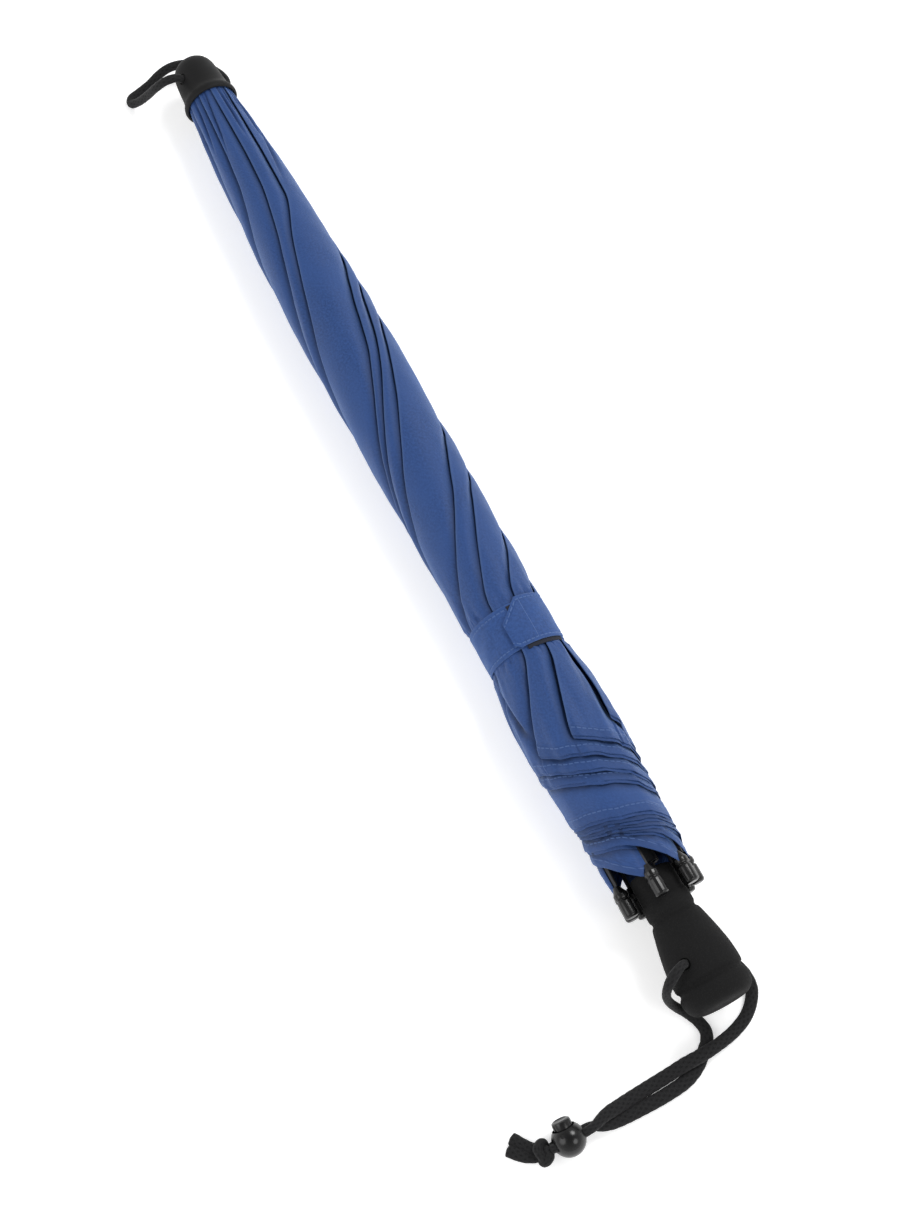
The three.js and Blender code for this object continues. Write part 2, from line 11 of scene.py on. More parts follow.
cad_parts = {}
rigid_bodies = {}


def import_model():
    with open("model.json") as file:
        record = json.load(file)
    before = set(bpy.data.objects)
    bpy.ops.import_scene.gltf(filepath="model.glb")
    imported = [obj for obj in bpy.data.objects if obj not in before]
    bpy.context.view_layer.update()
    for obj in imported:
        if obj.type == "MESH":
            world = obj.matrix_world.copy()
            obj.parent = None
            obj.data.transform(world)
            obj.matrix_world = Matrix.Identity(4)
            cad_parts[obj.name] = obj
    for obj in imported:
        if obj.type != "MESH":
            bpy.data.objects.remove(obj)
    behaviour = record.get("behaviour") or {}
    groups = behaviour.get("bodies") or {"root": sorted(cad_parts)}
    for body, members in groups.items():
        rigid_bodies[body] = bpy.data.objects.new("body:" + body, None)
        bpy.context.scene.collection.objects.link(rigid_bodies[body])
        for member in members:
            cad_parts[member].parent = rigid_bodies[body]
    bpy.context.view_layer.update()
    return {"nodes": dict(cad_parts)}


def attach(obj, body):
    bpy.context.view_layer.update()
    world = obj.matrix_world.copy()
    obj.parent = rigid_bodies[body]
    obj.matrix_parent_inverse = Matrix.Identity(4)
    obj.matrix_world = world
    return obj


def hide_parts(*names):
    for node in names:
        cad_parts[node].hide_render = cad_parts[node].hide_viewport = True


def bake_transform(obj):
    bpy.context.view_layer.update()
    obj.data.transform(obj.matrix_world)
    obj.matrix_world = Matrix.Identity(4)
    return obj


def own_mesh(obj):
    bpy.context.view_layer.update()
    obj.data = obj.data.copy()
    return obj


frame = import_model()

bl_info = {
    "name": "Hiking stick umbrella",
    "version": (1, 0, 0),
    "blender": (4, 5, 0),
    "location": "View3D > Sidebar > Umbrella",
    "description": "Builds the cloth, cords, grip and trim of a furled umbrella round its frame",
    "category": "Object",
}

MM = 0.001

# Places shared with the frame, in millimetres. The shaft's axis runs along X.
AXIS_Z = 22.4
TOP_X = 317.5
END_X = -317.5
RIB_COUNT = 8
FIRST_RIB_ANGLE = 4.0
TIP_ANGLES = [8, 42, 101, 176, 203, 240, 282, 325]
ROD_R = 12.2
TIP_CIRCLE_R = 18.8
TIP_END_X = -260.0
BEND_START_X = 22.0
STRAP_X = (-115.5, -90.5)
WRIST_HOLE_X = -293.5
WRIST_HOLE_ANGLE = 126.0
LOOP_HOLE_X = 303.0
LOOP_HOLE_ANGLE = 140.0
BALL_R = 8.6
BALL_CENTRE = Vector((-337.5, 96.0, BALL_R))
PLUNGER_TILT = math.radians(20)
PLUNGER_AXIS = Vector((math.cos(PLUNGER_TILT), 0, math.sin(PLUNGER_TILT)))
PAIR_AXIS = Vector((-PLUNGER_AXIS.z, 0, PLUNGER_AXIS.x))
STRAND_PITCH = 4.3
KNOT_CENTRE = Vector((-337.3, 109.5, 5.6))


def across_axis(x, angle, r):
    """A point a distance r from the shaft's axis: 0 degrees is the -Y side, 90 is the top."""
    turn = math.radians(angle)
    return (x, -r * math.cos(turn), AXIS_Z + r * math.sin(turn))


def in_ball(y, side):
    """A point on a strand where it runs through the cord lock, side being -1 or 1."""
    shift = PAIR_AXIS * (side * STRAND_PITCH / 2)
    return (BALL_CENTRE.x + shift.x, y, BALL_CENTRE.z + shift.z)


WRIST_LEFT = [
    across_axis(WRIST_HOLE_X, WRIST_HOLE_ANGLE, 0.2), across_axis(WRIST_HOLE_X, WRIST_HOLE_ANGLE, 9),
    across_axis(WRIST_HOLE_X, WRIST_HOLE_ANGLE, 18), across_axis(WRIST_HOLE_X - 0.5, WRIST_HOLE_ANGLE, 21.5),
    (-296.5, 18.2, 41.4), (-299.2, 22.6, 38), (-301.8, 24.4, 30), (-304.2, 23, 21.5),
    (-307, 19.5, 12.8), (-311, 15, 6.2), (-316.1, 11.6, 3), (-322.1, 10.4, 2.1), (-327, 12.6, 2.1),
    (-331.2, 17.2, 2.1), (-335.6, 23.2, 2.1), (-338.8, 31, 2.1), (-340.2, 43, 2.1),
    (-340.4, 56, 2.1), (-340.0, 70, 2.9), (-338.9, 78, 4.7), in_ball(84, -1), in_ball(96, -1),
    in_ball(106.5, -1),
]
WRIST_RIGHT = [
    across_axis(WRIST_HOLE_X, WRIST_HOLE_ANGLE, -0.2), across_axis(WRIST_HOLE_X, WRIST_HOLE_ANGLE, -9),
    across_axis(WRIST_HOLE_X, WRIST_HOLE_ANGLE, -18), (-294.6, -13.2, 5),
    (-298, -17.8, 2.7), (-305, -21, 2.1), (-313.6, -20.8, 2.1), (-319.6, -17.2, 2.1),
    (-325, -11, 2.1), (-328.6, -2.6, 2.6), (-330.6, 6, 4.4), (-331.6, 13.4, 6.4),
    (-332, 20.4, 6.9), (-332, 28.4, 5.4), (-332.6, 38.4, 3), (-333.3, 50.8, 2.3),
    (-334.2, 63, 3.7), (-335.6, 75, 7.8), in_ball(84, 1), in_ball(96, 1), in_ball(106.5, 1),
]
CAP_LOOP = [
    across_axis(LOOP_HOLE_X, LOOP_HOLE_ANGLE, 0), across_axis(LOOP_HOLE_X, LOOP_HOLE_ANGLE, 12),
    (303.3, 14, 33.6), (304.4, 19.5, 33),
    (307.6, 25.4, 26.8), (312.6, 30.2, 17), (318, 35.6, 7.6), (322, 39, 3.2), (326, 37.6, 2.4),
    (328.2, 31, 2.6), (329.4, 24, 4.4), (330.6, 16.6, 8), (330.2, 9.6, 11), (327.8, 2, 12.6),
    (323.4, -6.4, 12.4), (317, -13.8, 10.4), (309.6, -17.6, 8.6), (304.4, -16.6, 9),
    across_axis(LOOP_HOLE_X, LOOP_HOLE_ANGLE, -14), across_axis(LOOP_HOLE_X, LOOP_HOLE_ANGLE, -0.4),
]

# How much wider than thick each cord lies, by share of its length
LEFT_SPREAD = [(0.115, 0), (0.17, 0.35), (0.42, 0.4), (0.55, 0.62), (0.82, 0.6), (0.875, 0.05), (1, 0)]
RIGHT_SPREAD = [(0.10, 0), (0.15, 0.4), (0.45, 0.5), (0.55, 0.62), (0.80, 0.6), (0.87, 0.05), (1, 0)]
LOOP_SPREAD = [(0.08, 0), (0.2, 0.15), (0.8, 0.15), (0.92, 0)]
TAIL_SPREAD = [(0, 0.1), (0.5, 0.45), (1, 0.5)]

# The furled cloth. Each flap's folded edge winds round the bundle: [angle, x], angle growing downwards.
FOLD_EDGES = [
    [(86, 294), (88, 284), (91, 230), (96, 203), (113, 170), (135, 140), (160, 112), (204, 64), (268, 0),
     (320, -40), (375, -80), (388, -88), (389, -122), (395, -140), (404, -168), (407, -250)],
    [(118, 294), (120, 284), (126, 240), (133, 212), (145, 195), (165, 178), (215, 128), (268, 64),
     (328, 0), (375, -48), (390, -55), (410, -68), (425, -76), (433, -87), (425, -120), (447, -145),
     (462, -168), (465, -250)],
    [(156, 294), (158, 284), (163, 250), (175, 220), (197, 192), (233, 150), (275, 103), (309, 64),
     (368, 0), (375, -8), (400, -17), (420, -33), (440, -50), (465, -75), (474, -86), (461, -118),
     (483, -140), (512, -168), (515, -250)],
    [(198, 294), (200, 284), (206, 250), (240, 192), (273, 150), (310, 103), (342, 64), (375, 22),
     (395, 15), (420, -4), (435, -20), (455, -36), (480, -55), (505, -72), (524, -86), (526, -120),
     (540, -140), (556, -170), (559, -250)],
    [(243, 294), (245, 284), (251, 250), (285, 192), (345, 128), (375, 103), (395, 90), (420, 65),
     (440, 43), (470, 15), (485, 3), (495, -5), (515, -22), (535, -35), (568, -86), (571, -120),
     (598, -170), (601, -250)],
    [(288, 294), (290, 284), (296, 250), (330, 192), (375, 128), (395, 117), (420, 83), (440, 62),
     (480, 28), (515, 0), (560, -35), (613, -86), (616, -120), (643, -170), (646, -250)],
    [(333, 294), (335, 284), (341, 250), (356, 192), (375, 150), (405, 130), (422, 110), (440, 78),
     (465, 52), (490, 30), (520, 5), (600, -50), (658, -86), (661, -120), (690, -170), (693, -250)],
    [(408, 294), (410, 284), (416, 240), (426, 192), (455, 165), (490, 115), (530, 70),
     (605, 0), (660, -48), (704, -86), (708, -120), (732, -170), (735, -250)],
]
CORNER_X = [-166.5, -169.5, -168.0, -167.0, -166.0, -191.0, -187.0, -181.0]
HEM_X = -240.0
HEM_TIP_X = -249.5
CLOTH_TOP_X = 290.0
# The furled bundle's outline: [x, radius]
OUTLINE = [
    (290, 13.6), (284, 14.5), (255, 16.2), (224, 18.2), (192, 19.9), (160, 21.4), (128, 22.5), (96, 22.9),
    (64, 22.7), (33, 22.5), (1, 22.2), (-31, 21.8), (-63, 21.4), (-86, 20.9), (-118, 20.8), (-128, 22.6),
    (-142, 24.8), (-160, 25.9), (-175, 24.9), (-190, 23.7), (-222, 22.6), (-238, 22.0), (-250, 20.2),
]
# Pleats in the cloth: [angle, x] at each end, depth, half width in degrees
PLEATS = [
    ((70, 286), (76, 236), 1.9, 3.2), ((104, 286), (124, 232), 1.8, 3.0), ((138, 286), (146, 240), 1.5, 3.0),
    ((-6, 286), (62, 198), 2.5, 3.8), ((28, 286), (38, 236), 2.0, 3.2), ((178, 286), (190, 235), 1.6, 3.4),
    ((222, 286), (232, 230), 1.3, 3.4), ((266, 286), (276, 230), 1.3, 3.4), ((312, 286), (322, 230), 1.3, 3.4),
    ((60, 286), (64, 258), 0.8, 2.2), ((112, 286), (117, 256), 0.7, 2.2), ((40, 286), (44, 262), 0.7, 2.2),
    ((174, -126), (146, -166), 4.0, 5.5), ((43, -122), (66, -172), 1.0, 6.0),
]


# Settings


class CanopySettings(bpy.types.PropertyGroup):
    colour: FloatVectorProperty(
        name="Cloth colour", description="The canopy cloth's own colour", subtype="COLOR",
        default=(0.0215, 0.0560, 0.180), min=0, max=1)
    # Also the colour of the painted highlight along the canopy's folded edges.
    thread_and_highlight_colour: FloatVectorProperty(
        name="Thread colour", description="The sewing thread along hems and strap", subtype="COLOR",
        default=(0.062, 0.118, 0.285), min=0, max=1)
    fold_gap: FloatProperty(
        name="Fold gap", description="How far apart a folded flap's two layers lie",
        default=0.00055, unit="LENGTH")
    cloth_thickness: FloatProperty(
        name="Cloth thickness", description="Thickness of the canopy cloth", default=0.0002, unit="LENGTH")
    thread_pitch: FloatProperty(
        name="Weave pitch", description="Spacing of the cloth's threads", default=0.00045, unit="LENGTH")


class CordSettings(bpy.types.PropertyGroup):
    wrist_diameter: FloatProperty(
        name="Wrist cord diameter", description="Diameter of the wrist cord", default=0.0045, unit="LENGTH")
    loop_diameter: FloatProperty(
        name="Cap loop diameter", description="Diameter of the cap's loop", default=0.005, unit="LENGTH")
    braid_relief: FloatProperty(
        name="Braid relief", description="How far the braid's yarns stand proud", default=0.00011,
        unit="LENGTH")
    colour: FloatVectorProperty(
        name="Cord colour", description="The braided cord's colour", subtype="COLOR",
        default=(0.0085, 0.0085, 0.009), min=0, max=1)


class TrimSettings(bpy.types.PropertyGroup):
    foam_colour: FloatVectorProperty(
        name="Foam colour", description="The grip's foam", subtype="COLOR",
        default=(0.0088, 0.0088, 0.009), min=0, max=1)
    rubber_colour: FloatVectorProperty(
        name="Rubber colour", description="The cap's rubber", subtype="COLOR",
        default=(0.0092, 0.0092, 0.0095), min=0, max=1)
    gloss_colour: FloatVectorProperty(
        name="Gloss plastic colour", description="Rib tips and cord lock", subtype="COLOR",
        default=(0.0045, 0.0045, 0.0048), min=0, max=1)
    round_steps: IntProperty(
        name="Steps round", description="Steps round each turned piece", default=96, min=24, max=160)


class StageSettings(bpy.types.PropertyGroup):
    lens: FloatProperty(
        name="Lens", description="Focal length on a 36 mm film", default=55.15, unit="CAMERA")
    floor_size: FloatProperty(
        name="Floor size", description="Length of the floor's side", default=8.0, unit="LENGTH")
    key_power: FloatProperty(
        name="Key light", description="Power of the large soft light", default=20.0, unit="POWER")
    horizon_strength: FloatProperty(
        name="Horizon", description="Strength of the light from low down all round", default=1.0)
    zenith_strength: FloatProperty(
        name="Zenith", description="Strength of the light from straight above", default=0.3)
    floor_glow: FloatProperty(
        name="Floor glow", description="Light that the lit paper floor gives off", default=0.42)


# Small tools


def settings():
    return bpy.context.scene.umbrella


def clear_selection():
    if bpy.context.object and bpy.context.object.mode != "OBJECT":
        bpy.ops.object.mode_set(mode="OBJECT")
    bpy.ops.object.select_all(action="DESELECT")


def only(piece):
    clear_selection()
    piece.select_set(True)
    bpy.context.view_layer.objects.active = piece
    return piece


def take_new(name):
    """Names the object that the last primitive made and puts its origin at the world's."""
    piece = only(bpy.context.object)
    piece.name = name
    piece.data.name = name
    bpy.ops.object.transform_apply(location=True, rotation=True, scale=True)
    return piece


def apply_modifier(piece, kind, **values):
    only(piece)
    modifier = piece.modifiers.new(kind.title(), kind)
    for key, value in values.items():
        setattr(modifier, key, value)
    bpy.ops.object.modifier_apply(modifier=modifier.name)
    return piece


def cut_away(piece, cutter):
    apply_modifier(piece, "BOOLEAN", operation="DIFFERENCE", object=cutter, solver="EXACT")
    bpy.data.objects.remove(cutter)
    return piece


def clean_mesh(piece, smooth_angle=40):
    only(piece)
    bpy.ops.object.mode_set(mode="EDIT")
    bpy.ops.mesh.select_all(action="SELECT")
    bpy.ops.mesh.remove_doubles(threshold=1e-6)
    bpy.ops.mesh.normals_make_consistent(inside=False)
    bpy.ops.object.mode_set(mode="OBJECT")
    bpy.ops.object.shade_smooth_by_angle(angle=math.radians(smooth_angle))
    return piece


def turned(name, profile, centre=(0, 0, AXIS_Z), axis=(1, 0, 0), side=(0, 1, 0), steps=None, bevel=0.0):
    """A turned piece: its profile of (along, radius) is drawn out point by point, then spun."""
    centre, axis, side = Vector(centre), Vector(axis), Vector(side)
    points = [(centre + axis * along + side * radius) * MM for along, radius in profile]
    clear_selection()
    bpy.ops.mesh.primitive_plane_add(size=MM, location=(0, 0, 0))
    bpy.ops.object.mode_set(mode="EDIT")
    bpy.ops.mesh.merge(type="CENTER")
    bpy.ops.transform.translate(value=points[0])
    for before, after in zip(points, points[1:]):
        bpy.ops.mesh.extrude_region_move(TRANSFORM_OT_translate={"value": after - before})
    bpy.ops.mesh.select_all(action="SELECT")
    bpy.ops.mesh.spin(
        steps=steps or settings().trim.round_steps, angle=math.tau, center=centre * MM, axis=axis)
    bpy.ops.object.mode_set(mode="OBJECT")
    piece = take_new(name)
    clean_mesh(piece)
    if bevel:
        apply_modifier(piece, "BEVEL", width=bevel * MM, segments=3, limit_method="ANGLE",
                       angle_limit=math.radians(28))
    return piece


def bar(centre, direction, radius, length, sides=32, radius_2=None):
    """A round bar or cone whose middle is at centre, for cutting holes."""
    clear_selection()
    turn = Vector(direction).to_track_quat("Z", "Y").to_euler()
    bpy.ops.mesh.primitive_cone_add(
        vertices=sides, radius1=radius * MM, radius2=(radius if radius_2 is None else radius_2) * MM,
        depth=length * MM, location=Vector(centre) * MM, rotation=turn)
    return take_new("cutter")


def grid_faces(rows, columns, wrap=False):
    """Quads of a grid whose vertices run row by row."""
    r = np.arange(rows - 1)[:, None]
    c = np.arange(columns if wrap else columns - 1)[None, :]
    d = (c + 1) % columns
    quads = np.stack([r * columns + c, r * columns + d, (r + 1) * columns + d, (r + 1) * columns + c], -1)
    return quads.reshape(-1, 4)


def mesh_piece(name, points, faces, uv=None, marks=None, smooth=True):
    """A mesh from points in millimetres, with an optional UV per vertex and float marks per vertex."""
    mesh = bpy.data.meshes.new(name)
    mesh.from_pydata((np.asarray(points) * MM).tolist(), [], [list(f) for f in faces])
    if uv is not None:
        corner = np.empty(len(mesh.loops), np.int32)
        mesh.loops.foreach_get("vertex_index", corner)
        layer = mesh.uv_layers.new(name="Cut")
        layer.uv.foreach_set("vector", np.asarray(uv)[corner].astype(np.float32).ravel())
    for key, values in (marks or {}).items():
        mesh.attributes.new(key, "FLOAT", "POINT").data.foreach_set("value", values.astype(np.float32))
    mesh.polygons.foreach_set("use_smooth", [smooth] * len(mesh.polygons))
    mesh.update()
    piece = bpy.data.objects.new(name, mesh)
    bpy.context.scene.collection.objects.link(piece)
    return piece


def wear(piece, material):
    piece.data.materials.clear()
    piece.data.materials.append(material)
    return piece


# Materials


def new_group(name, inputs, outputs):
    group = bpy.data.node_groups.new(name, "ShaderNodeTree")
    for label, kind, value in inputs:
        socket = group.interface.new_socket(label, in_out="INPUT", socket_type=kind)
        if value is not None:
            socket.default_value = value
    for label, kind in outputs:
        group.interface.new_socket(label, in_out="OUTPUT", socket_type=kind)
    return group, group.nodes.new("NodeGroupInput"), group.nodes.new("NodeGroupOutput")


def node(tree, kind, inputs=None, **values):
    made = tree.nodes.new(kind)
    for key, value in values.items():
        setattr(made, key, value)
    for key, value in (inputs or {}).items():
        if hasattr(value, "links"):
            tree.links.new(value, made.inputs[key])
        else:
            made.inputs[key].default_value = value
    return made


def maths(tree, operation, *values, clamp=False):
    return node(tree, "ShaderNodeMath", dict(enumerate(values)), operation=operation,
                use_clamp=clamp).outputs[0]


def ramp(tree, value, low, high):
    made = node(tree, "ShaderNodeMapRange", {0: value, 1: low, 2: high, 3: 0.0, 4: 1.0})
    return made.outputs[0]


def mix_colour(tree, factor, a, b, blend="MIX"):
    made = node(tree, "ShaderNodeMix", {0: factor, 6: a, 7: b}, data_type="RGBA", blend_type=blend)
    return made.outputs[2]


def grain_group():
    """Fine moulded grain: a height and a mottle that vary over the surface."""
    if "Grain" in bpy.data.node_groups:
        return bpy.data.node_groups["Grain"]
    group, start, end = new_group(
        "Grain",
        [("Vector", "NodeSocketVector", None), ("Fine Scale", "NodeSocketFloat", 1500.0),
         ("Broad Scale", "NodeSocketFloat", 60.0)],
        [("Height", "NodeSocketFloat"), ("Mottle", "NodeSocketFloat")])
    fine = node(group, "ShaderNodeTexNoise", {
        "Vector": start.outputs["Vector"], "Scale": start.outputs["Fine Scale"], "Detail": 3.0,
        "Roughness": 0.6})
    broad = node(group, "ShaderNodeTexNoise", {
        "Vector": start.outputs["Vector"], "Scale": start.outputs["Broad Scale"], "Detail": 4.0,
        "Roughness": 0.55})
    height = maths(group, "MULTIPLY_ADD", broad.outputs[0], 0.5, fine.outputs[0])
    group.links.new(height, end.inputs["Height"])
    group.links.new(broad.outputs[0], end.inputs["Mottle"])
    return group


def weave_group():
    """Plain weave from two crossed sets of threads, with a fleck that differs from thread to thread."""
    if "Weave" in bpy.data.node_groups:
        return bpy.data.node_groups["Weave"]
    group, start, end = new_group(
        "Weave",
        [("Vector", "NodeSocketVector", None), ("Pitch", "NodeSocketFloat", 0.00045)],
        [("Height", "NodeSocketFloat"), ("Fleck", "NodeSocketFloat")])
    place = node(group, "ShaderNodeSeparateXYZ", {0: start.outputs["Vector"]})
    waves = []
    for index in (0, 1):
        turns = maths(group, "DIVIDE", place.outputs[index], start.outputs["Pitch"])
        waves.append(maths(group, "SINE", maths(group, "MULTIPLY", turns, math.tau)))
    crossed = maths(group, "MULTIPLY", waves[0], waves[1])
    height = maths(group, "MULTIPLY_ADD", crossed, 0.5, 0.5)
    frequency = maths(group, "DIVIDE", 0.35, start.outputs["Pitch"])
    fleck = node(group, "ShaderNodeTexNoise", {
        "Vector": start.outputs["Vector"], "Scale": frequency, "Detail": 2.0, "Roughness": 0.7})
    group.links.new(height, end.inputs["Height"])
    group.links.new(fleck.outputs[0], end.inputs["Fleck"])
    return group


def stitch_group():
    """A row of stitches along U at a given V: 1 on the thread, 0 elsewhere."""
    if "Stitches" in bpy.data.node_groups:
        return bpy.data.node_groups["Stitches"]
    group, start, end = new_group(
        "Stitches",
        [("Along", "NodeSocketFloat", 0.0), ("Across", "NodeSocketFloat", 0.0),
         ("Row", "NodeSocketFloat", 0.005), ("Half Width", "NodeSocketFloat", 0.0003),
         ("Stitch Length", "NodeSocketFloat", 0.0026)],
        [("Thread", "NodeSocketFloat")])
    offset = maths(group, "ABSOLUTE", maths(
        group, "SUBTRACT", start.outputs["Across"], start.outputs["Row"]))
    near = maths(group, "LESS_THAN", offset, start.outputs["Half Width"])
    part = maths(group, "FRACT", maths(
        group, "DIVIDE", start.outputs["Along"], start.outputs["Stitch Length"]))
    group.links.new(maths(group, "MULTIPLY", near, maths(group, "LESS_THAN", part, 0.7)),
                    end.inputs["Thread"])
    return group


def use_group(tree, group, inputs):
    return node(tree, "ShaderNodeGroup", inputs, node_tree=group) if False else _grouped(tree, group, inputs)


def _grouped(tree, group, inputs):
    made = tree.nodes.new("ShaderNodeGroup")
    made.node_tree = group
    for key, value in inputs.items():
        if hasattr(value, "links"):
            tree.links.new(value, made.inputs[key])
        else:
            made.inputs[key].default_value = value
    return made


def new_material(name, **plain):
    """A material with a Principled shader whose plain values are set on its own sockets."""
    material = bpy.data.materials.new(name)
    material.use_nodes = True
    tree = material.node_tree
    shader = tree.nodes["Principled BSDF"]
    for key, value in plain.items():
        shader.inputs[key.replace("_", " ")].default_value = value
    return material, tree, shader


def add_bump(tree, shader, height, strength, distance):
    bump = node(tree, "ShaderNodeBump", {"Height": height, "Strength": strength, "Distance": distance})
    tree.links.new(bump.outputs[0], shader.inputs["Normal"])


def rgba(colour, gain=1.0):
    return (min(1, colour[0] * gain), min(1, colour[1] * gain), min(1, colour[2] * gain), 1.0)


def object_place(tree):
    return node(tree, "ShaderNodeTexCoord").outputs["Object"]


def grained(name, colour, roughness, fine, broad, strength, distance, spread=0.25, **plain):
    """A moulded or foamed material: mottled colour, uneven roughness and a fine bump."""
    material, tree, shader = new_material(name, **plain)
    grain = _grouped(tree, grain_group(), {
        "Vector": object_place(tree), "Fine Scale": fine, "Broad Scale": broad})
    tree.links.new(mix_colour(
        tree, grain.outputs["Mottle"], rgba(colour, 1 - spread), rgba(colour, 1 + 1.6 * spread)),
        shader.inputs["Base Color"])
    rough = node(tree, "ShaderNodeMapRange", {0: grain.outputs["Mottle"], 1: 0.3, 2: 0.7,
                                              3: roughness - 0.07, 4: roughness + 0.07})
    tree.links.new(rough.outputs[0], shader.inputs["Roughness"])
    add_bump(tree, shader, grain.outputs["Height"], strength, distance)
    return material


def foam_material():
    """Closed-cell foam: dark, with pale specks of skin between tiny pits."""
    colour = settings().trim.foam_colour
    material, tree, shader = new_material("eva_foam", Specular_IOR_Level=0.12)
    place = object_place(tree)
    grain = _grouped(tree, grain_group(), {"Vector": place, "Fine Scale": 1900.0, "Broad Scale": 90.0})
    cells = node(tree, "ShaderNodeTexVoronoi", {"Vector": place, "Scale": 1500.0})
    specks = ramp(tree, cells.outputs["Distance"], 0.30, 0.12)
    base = mix_colour(tree, grain.outputs["Mottle"], rgba(colour, 0.75), rgba(colour, 1.35))
    tree.links.new(mix_colour(tree, maths(tree, "MULTIPLY", specks, 0.55), base, rgba(colour, 3.2)),
                   shader.inputs["Base Color"])
    rough = node(tree, "ShaderNodeMapRange", {0: grain.outputs["Mottle"], 1: 0.3, 2: 0.7, 3: 0.72, 4: 0.88})
    tree.links.new(rough.outputs[0], shader.inputs["Roughness"])
    add_bump(tree, shader, grain.outputs["Height"], 0.5, 0.00025)
    return material


def canopy_material():
    """Fine polyester cloth: weave, sewn hem and thread, with a painted highlight along the folded edges and
    painted shade in the creases and where flaps lie under others.
    """
    cloth = settings().canopy
    material, tree, shader = new_material(
        "canopy_cloth", Sheen_Weight=0.46, Sheen_Roughness=0.4, Sheen_Tint=(0.36, 0.56, 1.0, 1.0),
        Specular_IOR_Level=0.22)
    uv = node(tree, "ShaderNodeUVMap", uv_map="Cut").outputs[0]
    place = node(tree, "ShaderNodeSeparateXYZ", {0: uv})
    weave = _grouped(tree, weave_group(), {"Vector": uv, "Pitch": cloth.thread_pitch})
    broad = node(tree, "ShaderNodeTexNoise", {"Vector": uv, "Scale": 28.0, "Detail": 3.0, "Roughness": 0.5})
    base = mix_colour(tree, ramp(tree, broad.outputs[0], 0.3, 0.7),
                      rgba(cloth.colour, 0.86), rgba(cloth.colour, 1.14))
    base = mix_colour(tree, ramp(tree, weave.outputs["Fleck"], 0.35, 0.65), base,
                      rgba(cloth.colour, 1.25))
    # Painted shade: the cloth darkens towards a dark copy of its colour where other flaps lie over it, just
    # outside their edges and in the pleats.
    crease_shade = node(tree, "ShaderNodeAttribute", attribute_name="crease_shade").outputs["Fac"]
    shade_share = maths(tree, "MULTIPLY", maths(tree, "POWER", crease_shade, 1.2), 0.84)
    base = mix_colour(tree, shade_share, base, rgba(cloth.colour, 0.2))
    # Painted highlight: a paler line in the thread's colour along each folded edge.
    edge = node(tree, "ShaderNodeAttribute", attribute_name="edge").outputs["Fac"]
    base = mix_colour(tree, maths(tree, "MULTIPLY", edge, 0.8), base, rgba(cloth.thread_and_highlight_colour, 0.95))
    hem = ramp(tree, place.outputs[1], 0.0062, 0.0054)
    base = mix_colour(tree, maths(tree, "MULTIPLY", hem, 0.35), base, rgba(cloth.colour, 0.8))
    stitches = _grouped(tree, stitch_group(), {
        "Along": place.outputs[0], "Across": place.outputs[1], "Row": 0.0046})
    base = mix_colour(tree, maths(tree, "MULTIPLY", stitches.outputs[0], 0.8), base,
                      rgba(cloth.thread_and_highlight_colour))
    tree.links.new(base, shader.inputs["Base Color"])
    rough = node(tree, "ShaderNodeMapRange", {0: broad.outputs[0], 1: 0.3, 2: 0.7, 3: 0.46, 4: 0.6})
    tree.links.new(rough.outputs[0], shader.inputs["Roughness"])
    pucker = maths(tree, "MULTIPLY", hem, node(tree, "ShaderNodeTexNoise", {
        "Vector": uv, "Scale": 420.0, "Detail": 2.0}).outputs[0])
    height = maths(tree, "MULTIPLY_ADD", weave.outputs["Height"], 0.35,
                   maths(tree, "MULTIPLY_ADD", pucker, 2.2, stitches.outputs[0]))
    add_bump(tree, shader, height, 0.5, 0.00022)
    return material


def strap_material():
    """The strap: the same cloth doubled, with stitching along both edges and a sewn box."""
    cloth = settings().canopy
    material, tree, shader = new_material(
        "strap_cloth", Sheen_Weight=0.4, Sheen_Roughness=0.45, Sheen_Tint=(0.36, 0.56, 1.0, 1.0),
        Specular_IOR_Level=0.2)
    uv = node(tree, "ShaderNodeUVMap", uv_map="Cut").outputs[0]
    place = node(tree, "ShaderNodeSeparateXYZ", {0: uv})
    weave = _grouped(tree, weave_group(), {"Vector": uv, "Pitch": cloth.thread_pitch * 1.3})
    broad = node(tree, "ShaderNodeTexNoise", {"Vector": uv, "Scale": 90.0, "Detail": 3.0})
    base = mix_colour(tree, broad.outputs[0], rgba(cloth.colour, 0.85), rgba(cloth.colour, 1.2))
    base = mix_colour(tree, ramp(tree, weave.outputs["Fleck"], 0.35, 0.65), base, rgba(cloth.colour, 1.35))
    thread = node(tree, "ShaderNodeAttribute", attribute_name="thread").outputs["Fac"]
    dash = maths(tree, "MULTIPLY", maths(tree, "GREATER_THAN", thread, 0.5), ramp(
        tree, maths(tree, "FRACT", maths(tree, "DIVIDE", place.outputs[0], 0.0026)), 0.72, 0.68))
    edge = node(tree, "ShaderNodeAttribute", attribute_name="edge").outputs["Fac"]
    base = mix_colour(tree, maths(tree, "MULTIPLY", edge, 0.4), base, rgba(cloth.thread_and_highlight_colour))
    base = mix_colour(tree, dash, base, rgba(cloth.thread_and_highlight_colour))
    tree.links.new(base, shader.inputs["Base Color"])
    rough = node(tree, "ShaderNodeMapRange", {0: broad.outputs[0], 1: 0.3, 2: 0.7, 3: 0.55, 4: 0.7})
    tree.links.new(rough.outputs[0], shader.inputs["Roughness"])
    add_bump(tree, shader, maths(tree, "MULTIPLY_ADD", weave.outputs["Height"], 0.5, dash), 0.5, 0.0002)
    return material


